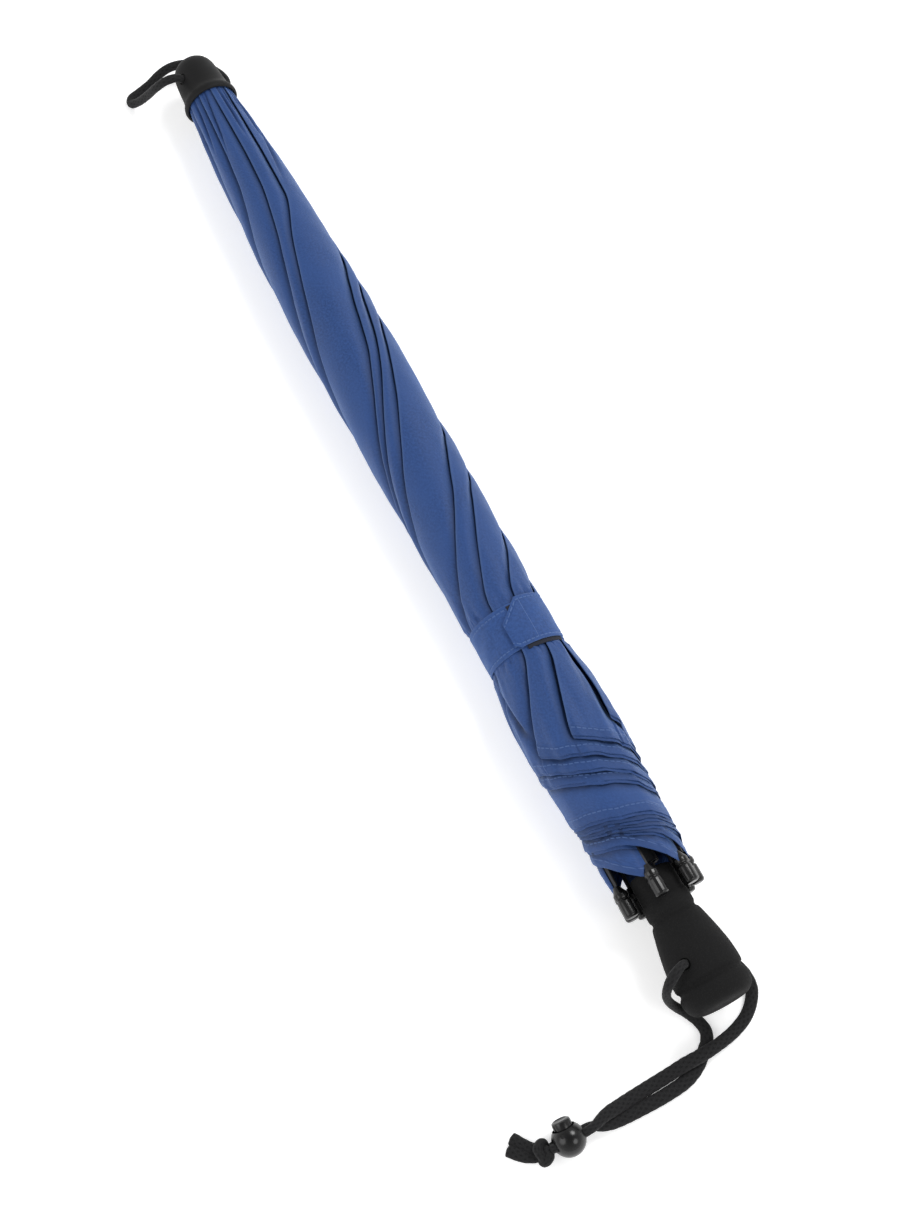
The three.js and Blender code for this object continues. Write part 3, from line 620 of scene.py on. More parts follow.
def cord_material():
    """Braided cord: dark yarns, with painted shade in the grooves between them and a painted highlight along each
    crown.
    """
    cords = settings().cords
    material, tree, shader = new_material(
        "braided_cord", Sheen_Weight=0.06, Sheen_Roughness=0.5, Specular_IOR_Level=0.15)
    crown = node(tree, "ShaderNodeAttribute", attribute_name="crown").outputs["Fac"]
    uv = node(tree, "ShaderNodeUVMap", uv_map="Cut").outputs[0]
    fibres = node(tree, "ShaderNodeTexNoise", {"Vector": uv, "Scale": 2600.0, "Detail": 3.0})
    # Painted shade and highlight from the braid's relief: darker between yarns, paler on their crowns.
    base = mix_colour(tree, crown, rgba(cords.colour, 0.45), rgba(cords.colour, 1.5))
    base = mix_colour(tree, ramp(tree, fibres.outputs[0], 0.45, 0.75), base, rgba(cords.colour, 2.6))
    tree.links.new(base, shader.inputs["Base Color"])
    rough = node(tree, "ShaderNodeMapRange", {0: crown, 1: 0.0, 2: 1.0, 3: 0.95, 4: 0.68})
    tree.links.new(rough.outputs[0], shader.inputs["Roughness"])
    add_bump(tree, shader, fibres.outputs[0], 0.45, 0.0001)
    return material


MATERIAL_MAKERS = {
    "canopy_fabric": canopy_material,
    "strap_webbing": strap_material,
    "cord": cord_material,
    "foam": foam_material,
    "hook_tape": lambda: grained("hook_tape", (0.010, 0.012, 0.022), 0.92, 1400.0, 500.0, 0.9, 0.0004, 0.5),
    "cap_rubber": lambda: grained(
        "cap_rubber", settings().trim.rubber_colour, 0.62, 1300.0, 45.0, 0.22, 0.0001, 0.3,
        Specular_IOR_Level=0.16),
    "gloss_plastic": lambda: grained(
        "gloss_plastic", settings().trim.gloss_colour, 0.24, 700.0, 130.0, 0.08, 0.00004, 0.2,
        Specular_IOR_Level=0.4),
    "nylon": lambda: grained("nylon", (0.016, 0.017, 0.019), 0.5, 1100.0, 160.0, 0.2, 0.00008, 0.25),
    "shaft_fibre": lambda: grained("shaft_fibre", (0.026, 0.026, 0.028), 0.38, 900.0, 220.0, 0.12, 0.00005, 0.3),
    "steel": lambda: grained("steel", (0.42, 0.43, 0.45), 0.34, 1500.0, 110.0, 0.15, 0.00003, 0.12, Metallic=1.0),
}
_made = {}


def finish_for(slot):
    if slot not in _made:
        _made[slot] = MATERIAL_MAKERS[slot]()
    return _made[slot]


# Cords


def smooth_route(points, spacing):
    """Points evenly spaced along a smooth curve through the route's points, in millimetres."""
    points = np.array(points, float)
    ends = np.vstack([2 * points[0] - points[1], points, 2 * points[-1] - points[-2]])
    dense = []
    for p0, p1, p2, p3 in zip(ends, ends[1:], ends[2:], ends[3:]):
        t1 = max(np.linalg.norm(p1 - p0), 1e-6) ** 0.5
        t2 = t1 + max(np.linalg.norm(p2 - p1), 1e-6) ** 0.5
        t3 = t2 + max(np.linalg.norm(p3 - p2), 1e-6) ** 0.5
        t = np.linspace(t1, t2, 24, endpoint=False)[:, None]
        a1 = (t1 - t) / t1 * p0 + t / t1 * p1
        a2 = (t2 - t) / (t2 - t1) * p1 + (t - t1) / (t2 - t1) * p2
        a3 = (t3 - t) / (t3 - t2) * p2 + (t - t2) / (t3 - t2) * p3
        b1 = (t2 - t) / t2 * a1 + t / t2 * a2
        b2 = (t3 - t) / (t3 - t1) * a2 + (t - t1) / (t3 - t1) * a3
        dense.append((t2 - t) / (t2 - t1) * b1 + (t - t1) / (t2 - t1) * b2)
    dense = np.vstack(dense + [points[-1:]])
    along = np.concatenate([[0], np.cumsum(np.linalg.norm(np.diff(dense, axis=0), axis=1))])
    count = max(4, int(round(along[-1] / spacing)))
    at = np.linspace(0, along[-1], count + 1)
    return np.stack([np.interp(at, along, dense[:, i]) for i in range(3)], 1), at


def carried_frames(route):
    """Two directions across a route at each point, carried along without twist."""
    ahead = np.gradient(route, axis=0)
    ahead /= np.linalg.norm(ahead, axis=1)[:, None]
    side = np.cross(ahead[0], (0.0, 0.0, 1.0))
    if np.linalg.norm(side) < 0.1:
        side = np.cross(ahead[0], (0.0, 1.0, 0.0))
    sides = []
    for direction in ahead:
        side = side - direction * side.dot(direction)
        side = side / np.linalg.norm(side)
        sides.append(side)
    sides = np.array(sides)
    return ahead, sides, np.cross(ahead, sides)


def braided_tube(points, radius, relief, around=36, spacing=0.42, yarns=8, flat_z=0.0, spread=((0, 0),)):
    """Vertices, faces, UVs and crown marks of a braided cord with rounded ends, flattened where it lies."""
    route, along = smooth_route(points, spacing)
    ahead, side, over = carried_frames(route)
    turn = np.arange(around) / around * math.tau
    reach = np.minimum(along, along[-1] - along)
    squeeze = np.sqrt(np.clip(1 - (1 - np.clip(reach / (radius * 0.5), 0, 1)) ** 2, 0.02, 1))
    phase = along[:, None] / (radius * 0.62)
    left = np.abs(np.sin(yarns / 2 * turn[None, :] + phase))
    right = np.abs(np.sin(yarns / 2 * turn[None, :] - phase))
    crown = np.maximum(left, right) ** 1.5
    r = (radius - relief + relief * 1.6 * (crown - 0.4)) * squeeze[:, None]
    ring = r[..., None] * (
        np.cos(turn)[None, :, None] * side[:, None] + np.sin(turn)[None, :, None] * over[:, None])
    level = np.cross(ahead, (0, 0, 1.0))
    flat = np.linalg.norm(level, axis=1)
    level = level / np.maximum(flat, 1e-3)[:, None]
    shares, extras = np.array(spread, float).T
    extra = np.interp(along / along[-1], shares, extras) * flat ** 2
    ring += (extra[:, None] * (ring * level[:, None]).sum(-1))[..., None] * level[:, None]
    ring += route[:, None]
    ring[..., 2] = np.maximum(ring[..., 2], flat_z)
    points = ring.reshape(-1, 3)
    faces = grid_faces(len(route), around, wrap=True)
    uv = np.stack(np.broadcast_arrays(
        turn[None, :] / math.tau * radius * math.tau * MM, along[:, None] * MM), -1).reshape(-1, 2)
    first = [list(range(around))[::-1]]
    last = [[(len(route) - 1) * around + i for i in range(around)]]
    return points, faces.tolist() + first + last, uv, crown.ravel(), route


def joined(parts):
    """Several sets of vertices, faces, UVs and marks as one."""
    shift = 0
    points, faces, uv, marks = [], [], [], []
    for p, f, u, m in parts:
        points.append(p)
        faces += [[i + shift for i in face] for face in f]
        uv.append(u)
        marks.append(m)
        shift += len(p)
    return np.vstack(points), faces, np.vstack(uv), np.concatenate(marks)


def outward(piece):
    """Turns every face of a closed mesh outwards."""
    mesh = bmesh.new()
    mesh.from_mesh(piece.data)
    bmesh.ops.recalc_face_normals(mesh, faces=mesh.faces)
    mesh.to_mesh(piece.data)
    mesh.free()
    return piece


def length_of(route):
    return float(np.linalg.norm(np.diff(route, axis=0), axis=1).sum()) * MM


class UMBRELLA_OT_cords(bpy.types.Operator):
    """Lays the wrist cord's two strands and the cap's loop along their routes"""
    bl_idname = "umbrella.cords"
    bl_label = "Cords"

    def execute(self, context):
        cords = settings().cords
        relief = cords.braid_relief / MM
        for name, points, spread, source in (
            ("wrist_cord_left_strand", WRIST_LEFT, LEFT_SPREAD, "wrist_cord_left"),
            ("wrist_cord_right_strand", WRIST_RIGHT, RIGHT_SPREAD, "wrist_cord_right"),
            ("cap_hanging_loop", CAP_LOOP, LOOP_SPREAD, "cap_loop_cord"),
        ):
            loop = name == "cap_hanging_loop"
            diameter = cords.loop_diameter if loop else cords.wrist_diameter
            p, f, uv, crown, route = braided_tube(
                points, diameter / MM / 2, relief, flat_z=0.05, spread=spread)
            piece = outward(mesh_piece(name, p, f, uv, {"crown": crown}))
            wear(piece, finish_for("cord"))
            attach(piece, "frame")
            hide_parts(source)
            piece["route"] = [float(v) for v in (route[::4] * MM).ravel()]
            piece["route_length"] = length_of(route)
        return {"FINISHED"}


def declare_cords():
    """Gathers the knot and the cord lock's ball shell, button and spring, which sit on the wrist cord; the list
    is not used further.
    """
    objects = bpy.data.objects
    on_cord = [objects[n] for n in ("wrist_cord_knot", "cord_lock_ball_shell", "cord_lock_button")]
    on_cord.append(frame["nodes"]["cord_lock_spring"])


class UMBRELLA_OT_knot(bpy.types.Operator):
    """Ties the overhand knot at the end of the wrist cord, with its two cut tails"""
    bl_idname = "umbrella.knot"
    bl_label = "Knot"

    def execute(self, context):
        cords = settings().cords
        radius = cords.wrist_diameter / MM / 2
        t = np.linspace(0, math.tau, 25)
        size = 1.6
        wraps = np.stack([
            KNOT_CENTRE.x + size * (np.sin(t) + 2 * np.sin(2 * t)),
            KNOT_CENTRE.y - 2.1 * np.sin(3 * t),
            KNOT_CENTRE.z + 0.2 + size * (np.cos(t) - 2 * np.cos(2 * t))], 1)
        t2 = np.linspace(0.3, math.tau + 0.3, 19)
        collar = np.stack([
            KNOT_CENTRE.x + 3.4 * np.cos(t2), KNOT_CENTRE.y + 1.1 + 1.0 * np.sin(t2 + 0.6),
            KNOT_CENTRE.z - 0.1 + 3.3 * np.sin(t2)], 1)
        tails = [
            [(-336.4, 107.5, 5.0), (-333.8, 112.0, 3.8), (-330.4, 115.4, 2.5), (-327.0, 117.8, 2.15),
             (-323.4, 120.2, 2.15)],
            [(-338.0, 107.5, 5.0), (-337.0, 113.6, 3.6), (-334.0, 118.2, 2.4), (-330.8, 121.4, 2.15),
             (-327.4, 124.2, 2.15)],
        ]
        parts = []
        for points, spread in ((wraps, [(0, 0.1)]), (collar, [(0, 0.1)]), (tails[0], TAIL_SPREAD),
                               (tails[1], TAIL_SPREAD)):
            p, f, uv, crown, _ = braided_tube(points, radius, cords.braid_relief / MM, around=28,
                                              spacing=0.5, flat_z=0.05, spread=spread)
            parts.append((p, f, uv, crown))
        p, f, uv, crown = joined(parts)
        piece = outward(mesh_piece("wrist_cord_knot", p, f, uv, {"crown": crown}))
        wear(piece, finish_for("cord"))
        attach(piece, "frame")
        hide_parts("cord_knot")
        return {"FINISHED"}


# Cord lock


class UMBRELLA_OT_cord_lock(bpy.types.Operator):
    """Turns the cord lock's ball, with its bore and cord passage, and its push button"""
    bl_idname = "umbrella.cord_lock"
    bl_label = "Cord lock"

    def execute(self, context):
        centre, axis = BALL_CENTRE, PLUNGER_AXIS
        outline = []
        for i in range(29):
            turn = math.pi * i / 28
            outline.append((-BALL_R * math.cos(turn), max(0.0, BALL_R * math.sin(turn))))
        outline[0] = (-BALL_R, 0.0)
        outline[-1] = (BALL_R, 0.0)
        ball = turned("cord_lock_ball_shell", outline, centre, axis, (0, 1, 0), steps=64)
        bore = bar(centre + axis * 6.2, axis, 5.9, 12.0, 48)
        cut_away(ball, bore)
        low = bar(centre - axis * 3.4, axis, 3.4, 6.6, 32)
        cut_away(ball, low)
        for side in (-1, 1):
            passage = bar(centre + PAIR_AXIS * (side * STRAND_PITCH / 2), (0, 1, 0), 2.35, 30, 32)
            cut_away(ball, passage)
        middle = bar(centre, (0, 1, 0), 2.25, 30, 32)
        cut_away(ball, middle)
        dimple = bar(centre + Vector((0.2, 0.35, 0.93)) * (BALL_R + 0.4), (0.2, 0.35, 0.93), 1.0, 1.8, 24, 1.5)
        cut_away(ball, dimple)
        clean_mesh(ball, 35)
        apply_modifier(ball, "BEVEL", width=0.22 * MM, segments=2, limit_method="ANGLE",
                       angle_limit=math.radians(50))
        wear(clean_mesh(ball, 40), finish_for("gloss_plastic"))
        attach(ball, "cord_lock")
        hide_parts("cord_lock_ball")

        button = turned("cord_lock_button", [
            (-3.4, 0), (-3.4, 5.2), (-3.1, 5.5), (4.6, 5.5), (5.2, 5.3), (5.5, 4.85), (9.0, 4.85),
            (9.8, 4.6), (10.15, 4.1), (10.25, 3.5), (10.05, 3.2), (9.8, 2.8), (9.75, 0)],
            centre, axis, (0, 1, 0), steps=56)
        for side in (-1, 1):
            passage = bar(centre + PAIR_AXIS * (side * STRAND_PITCH / 2), (0, 1, 0), 2.35, 30, 32)
            cut_away(button, passage)
        middle = bar(centre, (0, 1, 0), 2.25, 30, 32)
        cut_away(button, middle)
        wear(clean_mesh(button, 35), finish_for("gloss_plastic"))
        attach(button, "cord_lock_plunger")
        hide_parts("cord_lock_plunger")
        return {"FINISHED"}


# Canopy


def fold_angle(flap, x):
    """The angle of a flap's folded edge at x, smooth along the umbrella."""
    table = np.array(FOLD_EDGES[flap], float)[::-1]
    reach = np.array([-7.0, -3.5, 0.0, 3.5, 7.0])
    share = np.array([0.12, 0.23, 0.3, 0.23, 0.12])
    return sum(s * np.interp(x + d, table[:, 1], table[:, 0]) for d, s in zip(reach, share))


def outline_radius(x):
    table = np.array(OUTLINE, float)[::-1]
    return sum(np.interp(x + d, table[:, 0], table[:, 1]) for d in (-5.0, 0.0, 5.0)) / 3


def smoothstep(t):
    t = np.clip(t, 0, 1)
    return t * t * (3 - 2 * t)


def rod_spread(x):
    """0 where the ribs run straight, 1 at their tips."""
    end_x = TIP_END_X + 10
    return np.clip((BEND_START_X - x) / (BEND_START_X - end_x) / 0.95, 0, 1)


def rib_angle(rib, x):
    """The angle of a rib at x, for the rib counted on from 0 without wrapping."""
    turns, index = divmod(rib, RIB_COUNT)
    nominal = FIRST_RIB_ANGLE + 360.0 / RIB_COUNT * index
    lean = TIP_ANGLES[index] - nominal
    return 360.0 * turns + nominal + lean * smoothstep(rod_spread(x))


def rod_radius(x):
    return ROD_R + (TIP_CIRCLE_R - ROD_R) * rod_spread(x)


def hem_x(flap, back):
    """Where a flap ends, a number of degrees back from its folded edge."""
    corner = CORNER_X[flap]
    whole = fold_angle(flap, corner) - rib_angle(flap, corner)
    part = np.clip(back / whole, 0, 1)
    frill = 0.4 * np.sin(np.radians(back * 5.3 + flap * 70)) + 0.22 * np.sin(
        np.radians(back * 13.7 + flap * 131))
    calm = smoothstep(part * 14) * (1 - smoothstep((part - 0.86) * 10))
    fall = (HEM_TIP_X - HEM_X) * smoothstep((part - 0.84) / 0.16)
    return corner + (HEM_X - corner) * part ** 0.85 + fall + frill * calm


STEP_TABLE = [(290, 1.0), (270, 1.8), (240, 2.2), (180, 2.0), (60, 1.9), (-80, 1.5), (-118, 1.5),
              (-130, 3.0), (-160, 3.6), (-172, 1.3), (-180, 0.9), (-250, 0.8)]
LAYER_PITCH = 0.74
RISE_ANGLE = 19.0


def layers_above(flap, x, angle):
    """How many other flaps lie over this one, softened where it comes out from under an edge."""
    own = fold_angle(flap, x)
    count = np.zeros_like(angle)
    nearest = np.full_like(angle, 360.0)
    for other in range(RIB_COUNT):
        for turn in (-2, -1, 0, 1):
            fold = fold_angle(other, x) + 360.0 * turn
            behind = own - fold
            if not np.any((behind > 1e-6) & (behind < 800)):
                continue
            under = fold - angle
            rise = np.where(under >= 0, 1.0, np.clip(1 + under / RISE_ANGLE, 0, 1) ** 2)
            rise = np.minimum(rise, np.clip(behind / 3.0, 0, 1))
            cover = smoothstep((x - hem_x(other, np.maximum(under, 0))) / 7.0 + 1.0)
            reach = fold - rib_angle(other + RIB_COUNT * turn, x)
            rooted = smoothstep((reach - under) / 12.0)
            here = np.where(behind > 1e-6, rise * cover * rooted, 0.0)
            count += here
            nearest = np.where((under < 0) & (behind > 1e-6), np.minimum(nearest, -under), nearest)
    return count, nearest


def wrinkles(x, angle):
    """Pleats under the cap, gathers at the strap and flutes below it, shared by every layer."""
    turn = np.radians(angle)
    rise = np.zeros_like(angle)
    pleat_depth_and_shade = np.zeros_like(angle)
    for (a0, x0), (a1, x1), depth, width in PLEATS:
        middle = np.interp(x, [x1, x0], [a1, a0])
        gap = (angle - middle + 180) % 360 - 180
        length = x0 - x1
        fade = smoothstep((x - x1) / (0.5 * length))
        if x0 < 0:
            fade = fade * smoothstep((x0 - x) / (0.3 * length))
        pleat_depth_and_shade += depth * fade * np.exp(-(gap / width) ** 2)
    rise -= pleat_depth_and_shade
    crown = smoothstep((x - 225) / 60)
    rise += crown * 0.22 * np.sin(15 * turn + 0.8 * np.sin(2 * turn)) * (1 - smoothstep((x - 282) / 6))
    away = np.minimum(np.abs(x - STRAP_X[1]), np.abs(x - STRAP_X[0]))
    inside = (x < STRAP_X[1]) & (x > STRAP_X[0])
    near = np.where(inside, 0.0, smoothstep(away / 3.0) * np.exp(-away / 13.0))
    rise += near * (0.42 * np.sin(17 * turn + x / 19.0) + 0.3 * np.sin(26 * turn - x / 27.0 + 1.3))
    flare = smoothstep((-124 - x) / 34)
    rise += flare * (0.42 * np.sin(7 * turn + x / 31.0 + 0.6) + 0.3 * np.sin(12 * turn - x / 23.0)
                     + 0.16 * np.sin(23 * turn + x / 9.0 + 2.0))
    calm = np.where(inside, 0.0, smoothstep(away / 12.0))
    rise += calm * (0.15 * np.sin(x / 17.0 + 2.4 * np.sin(turn + 0.7)) * np.sin(3 * turn + x / 37.0)
                    + 0.1 * np.sin(x / 8.5 + 5 * turn) * np.sin(x / 41.0 + 2 * turn + 1.0)
                    + 0.06 * np.sin(x / 3.9 - 9 * turn + 2 * np.sin(x / 29.0)))
    # The second value is painted shade for the pleats.
    return rise, np.clip(pleat_depth_and_shade / 3.0, 0, 1)


def flap_radius(flap, x, angle, back, inner):
    """Distance from the shaft's axis of one layer of a flap, and how much painted shade it gets under other flaps
    and in the pleats.
    """
    fold_gap = settings().canopy.fold_gap / MM
    count, nearest = layers_above(flap, x, angle)
    table = np.array(STEP_TABLE, float)[::-1]
    step = np.interp(x, table[:, 0], table[:, 1])
    depth = step * np.minimum(count, 1) + LAYER_PITCH * np.maximum(count - 1, 0)
    outer = outline_radius(x)
    strip = back + np.minimum(nearest, 120.0)
    middle = np.sin(math.pi * np.clip(back / np.maximum(strip, 1.0), 0, 1))
    exposed = np.clip(1 - count, 0, 1)
    tight = np.where((x < STRAP_X[1] + 3) & (x > STRAP_X[0] - 3), 0.0, 1.0)
    rise, pleat_depth_and_shade = wrinkles(x, angle)
    radius = outer - depth + 1.1 * middle * exposed * tight * smoothstep((284 - x) / 30) + rise
    # The hem is folded double, so it stands a little proud
    along = x - hem_x(flap, back)
    radius += 0.22 * smoothstep((6.0 - along) / 0.7)
    flute = 0.16 * smoothstep((26 - along) / 26) * exposed
    radius += flute * np.sin(np.radians(back * 9.0 + flap * 77 + inner * 40))
    # The two layers meet in the rounded fold
    arc = back * math.pi / 180 * outer
    bend = np.clip(arc / (fold_gap * 1.4), 0, 1)
    opened = np.sqrt(np.clip(1 - (1 - bend) ** 2, 0, 1))
    radius += fold_gap * (0.5 * opened - 0.5) if not inner else -fold_gap * (0.5 + 0.5 * opened)
    floor_r = rod_radius(x) + 1.35
    radius = np.maximum(radius, floor_r + 0.02 * (8 - np.clip(count, 0, 8)) - 0.25 * inner)
    # The second value is the painted shade: full under other flaps, fading out past their edges, and in the
    # pleats.
    return radius, np.maximum(np.clip(count, 0, 1), pleat_depth_and_shade), arc


def flap_columns(inner):
    """Degrees back from the fold for the exposed part, then shares of what is left."""
    near = [0, 0.5, 1.1, 1.9, 3.0]
    step = 1.25 if not inner else 3.0
    near += list(np.arange(3.0 + step, 84.0, step))
    far = np.linspace(0, 1, 26 if not inner else 20)[1:]
    return np.array(near), far


def flap_side(flap, inner):
    near, far = flap_columns(inner)
    # Rows: close together at the hem
    fine = np.array([0.0, 0.5, 1.2, 3.0, 4.8, 5.4, 6.0, 6.8, 8.5])
    share = np.linspace(0, 1, 186)
    columns = len(near) + len(far)
    rows = len(share) + len(fine)
    root = flap + (1 if inner else 0)
    x = np.zeros((rows, columns))
    back = np.zeros((rows, columns))
    hem = np.full(columns, CORNER_X[flap])

    def backs(at):
        whole = fold_angle(flap, at) - rib_angle(root, at)
        whole = np.maximum(whole, 4.0)
        squeeze = np.minimum(1.0, whole / 118.0)
        out = np.empty_like(at)
        out[..., :len(near)] = near * squeeze[..., :len(near)]
        start = (near[-1] * squeeze)[..., len(near):]
        out[..., len(near):] = start + (whole[..., len(near):] - start) * far
        return out
    for _ in range(5):
        hem = hem_x(flap, backs(hem)) - (1.6 if inner else 0.0)
    for column in range(columns):
        low = hem[column]
        body = CLOTH_TOP_X + (low + 10.0 - CLOTH_TOP_X) * share
        x[:, column] = np.concatenate([body, (low + fine)[::-1]])
    for row in range(rows):
        back[row] = backs(x[row])
    angle = fold_angle(flap, x) - back
    radius, crease_shade, arc = flap_radius(flap, x, angle, back, inner)
    whole = fold_angle(flap, x) - rib_angle(root, x)
    to_root = smoothstep((back - (whole - 20)) / 20)
    radius = radius * (1 - to_root) + np.minimum(radius, rod_radius(x) + 1.35) * to_root
    turn = np.radians(angle)
    y = -radius * np.cos(turn)
    z = AXIS_Z + radius * np.sin(turn)
    low = 0.25 + 0.55 * (outline_radius(x) - radius + 1.0)
    z = np.maximum(z, np.clip(low, 0.25, 3.5))
    points = np.stack([x, y, z], -1)
    sign = 1.0 if inner else -1.0
    uv = np.stack([sign * arc * MM, (x - (hem[None, :])) * 1.04 * MM], -1)
    # Painted highlight along the folded edge, none where other flaps lie over it.
    edge = np.exp(-(arc / 0.8) ** 2) * (1 - crease_shade)
    return points, uv, crease_shade, edge


def make_gore(flap):
    """One gore: a cloth folded down its middle, wound round the others, hemmed at its end."""
    outer = flap_side(flap, False)
    inner = flap_side(flap, True)
    fields = []
    for a, b in zip(outer, inner):
        fields.append(np.concatenate([a[:, ::-1], b[:, 1:]], axis=1))
    points, uv, crease_shade, edge = fields
    # The outer layer's first column is the fold that both share
    rows, columns = points.shape[:2]
    rib = flap + 1
    name = f"canopy_gore_{rib}"
    # The gore carries its painted shade and its painted fold-edge highlight as marks.
    piece = mesh_piece(
        name, points.reshape(-1, 3), grid_faces(rows, columns)[:, ::-1], uv.reshape(-1, 2),
        {"crease_shade": crease_shade.ravel(), "edge": edge.ravel()})
    thickness = settings().canopy.cloth_thickness
    apply_modifier(piece, "SOLIDIFY", thickness=thickness, offset=0.0)
    return piece, rib


class UMBRELLA_OT_canopy(bpy.types.Operator):
    """Folds and winds the canopy's eight gores round the shaft"""
    bl_idname = "umbrella.canopy"
    bl_label = "Canopy"

    def execute(self, context):
        for flap in range(RIB_COUNT):
            piece, rib = make_gore(flap)
            wear(piece, finish_for("canopy_fabric"))
            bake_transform(piece)
            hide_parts(f"gore_{rib}")
        return {"FINISHED"}


# Strap


STRAP_R = 21.05


def strap_strip(angles, low_x, high_x, radius, thickness, lift=None, stitch_rows=(), cross_rows=()):
    """A sewn strip round the bundle, with rolled edges and stitch marks."""
    across = np.concatenate([[0, 0.006, 0.018, 0.04, 0.07, 0.085, 0.10, 0.115, 0.13],
                             np.linspace(0.16, 0.84, 24),
                             [0.87, 0.885, 0.90, 0.915, 0.93, 0.96, 0.982, 0.994, 1]])
    angles = np.asarray(angles, float)
    low = np.asarray(low_x(angles) if callable(low_x) else np.full(len(angles), low_x))
    high = np.asarray(high_x(angles) if callable(high_x) else np.full(len(angles), high_x))
    x = low[:, None] + (high - low)[:, None] * across[None, :]
    width = (high - low)[:, None]
    from_edge = np.minimum(across, 1 - across)[None, :] * width
    bulge = 0.16 * smoothstep(from_edge / 0.5) - 0.26 * np.exp(-((from_edge - 2.4) / 0.35) ** 2)
    bulge = bulge + 0.12 * np.sin(x / 2.9 + angles[:, None] / 6.0) * smoothstep((from_edge - 3) / 3)
    r = radius + bulge + (0 if lift is None else lift(angles)[:, None])
    marks = np.zeros_like(x)
    for distance in stitch_rows:
        marks = np.maximum(marks, np.abs(from_edge - distance) < 0.35)
    for row in cross_rows:
        marks = np.maximum(marks, (np.abs(angles[:, None] - row) * radius * math.pi / 180 < 0.35)
                           & (from_edge > 2.0))
    turn = np.radians(angles)[:, None]
    points = np.stack([x, -r * np.cos(turn), AXIS_Z + r * np.sin(turn)], -1)
    points[..., 2] = np.maximum(points[..., 2], 0.25)
    along = np.broadcast_to(angles[:, None] * math.pi / 180 * radius, x.shape)
    uv = np.stack([along * MM, (x - STRAP_X[0]) * MM], -1)
    edge = np.exp(-(from_edge / 0.35) ** 2)
    return points, uv, marks, edge


def strap_piece(name, fields, thickness, body):
    points, uv, marks, edge = fields
    rows, columns = points.shape[:2]
    piece = mesh_piece(name, points.reshape(-1, 3), grid_faces(rows, columns)[:, ::-1],
                       uv.reshape(-1, 2), {"thread": marks.ravel(), "edge": edge.ravel()})
    apply_modifier(piece, "SOLIDIFY", thickness=thickness * MM, offset=0.0)
    wear(piece, finish_for("strap_webbing"))
    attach(piece, body)
    return piece


class UMBRELLA_OT_strap(bpy.types.Operator):
    """Sews the closing strap: its band, its free tab and the hook tape between them"""
    bl_idname = "umbrella.strap"
    bl_label = "Strap"

    def execute(self, context):
        band = strap_piece("strap_band_sewn", strap_strip(
            np.linspace(0, 360, 361), *STRAP_X, STRAP_R + 0.2, 0.6, stitch_rows=(2.4,)), 0.55, "rib_2")
        clean_mesh(band, 60)
        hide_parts("strap_band")
        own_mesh(band)

        def slanted(angles):
            return STRAP_X[1] + 2.0 - 11.5 * np.clip((angles - 78) / 31, 0, 1)

        def blunt(angles):
            return STRAP_X[0] + 2.2 * smoothstep((angles - 100) / 9)

        tab = strap_piece("strap_tab_sewn", strap_strip(
            np.linspace(27, 109, 120), blunt, slanted, 22.3, 0.6,
            lift=lambda a: 0.6 * smoothstep((a - 88) / 21), stitch_rows=(1.8,), cross_rows=(30, 73)),
            0.55, "strap_tab")
        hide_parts("strap_tab")

        patch = strap_piece("strap_hook_tape", strap_strip(
            np.linspace(34, 94, 60), STRAP_X[0] - 2.3, STRAP_X[1] - 1.0, 21.75, 0.3), 0.3, "strap_tab")
        wear(patch, finish_for("hook_tape"))
        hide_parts("strap_hook_patch")
        return {"FINISHED"}


# Handle, cap and rib tips


class UMBRELLA_OT_grip(bpy.types.Operator):
    """Turns the foam grip and cuts the hole that the wrist cord goes through"""
    bl_idname = "umbrella.grip"
    bl_label = "Foam grip"

    def execute(self, context):
        profile = [
            (END_X, 0), (END_X, 6), (END_X + 0.05, 10), (END_X + 0.3, 12.6), (END_X + 0.9, 14.4),
            (END_X + 1.9, 15.9), (END_X + 3.2, 17.0), (END_X + 4.8, 17.9), (END_X + 6.6, 18.4),
            (END_X + 8.8, 18.62), (END_X + 10.4, 18.5), (END_X + 11.2, 18.1), (END_X + 11.9, 17.45),
            (END_X + 12.6, 17.05), (END_X + 13.4, 17.0), (END_X + 14.1, 17.35), (END_X + 14.8, 18.0),
            (END_X + 15.8, 18.35), (-299, 18.4), (-296, 18.25), (-292, 17.9), (-288.5, 17.35), (-285, 16.7),
            (-281.5, 16.0), (-278, 15.2), (-274.5, 14.35), (-272, 13.75), (-270.2, 13.2), (-269.4, 12.7),
            (-268.8, 12.1), (-268, 11.85), (-267.2, 11.95), (-266.5, 12.35), (-265.7, 12.65), (-263, 12.7),
            (-260, 12.62), (-258.8, 12.4), (-258, 12.0), (-257.2, 11.8), (-252, 11.8), (-246, 11.75),
            (-244.6, 11.5), (-244.05, 11.0), (-244, 7.35), (-312, 7.35), (-312, 0)]
        grip = turned("foam_grip", profile)
        # Same direction as the frame's hole
        turn = math.radians(WRIST_HOLE_ANGLE)
        away = Vector((0, -math.cos(turn), math.sin(turn)))
        middle = Vector((WRIST_HOLE_X, 0, AXIS_Z))
        hole = bar(middle, away, 2.35, 60, 40)
        cut_away(grip, hole)
        for side in (-1, 1):
            dimple = bar(middle + away * (side * 17.7), away * side, 2.0, 2.6, 40, 4.1)
            cut_away(grip, dimple)
        clean_mesh(grip, 42)
        apply_modifier(grip, "BEVEL", width=0.35 * MM, segments=3, limit_method="ANGLE",
                       angle_limit=math.radians(42))
        wear(clean_mesh(grip, 42), finish_for("foam"))
        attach(grip, "frame")
        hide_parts("handle_grip")
        return {"FINISHED"}


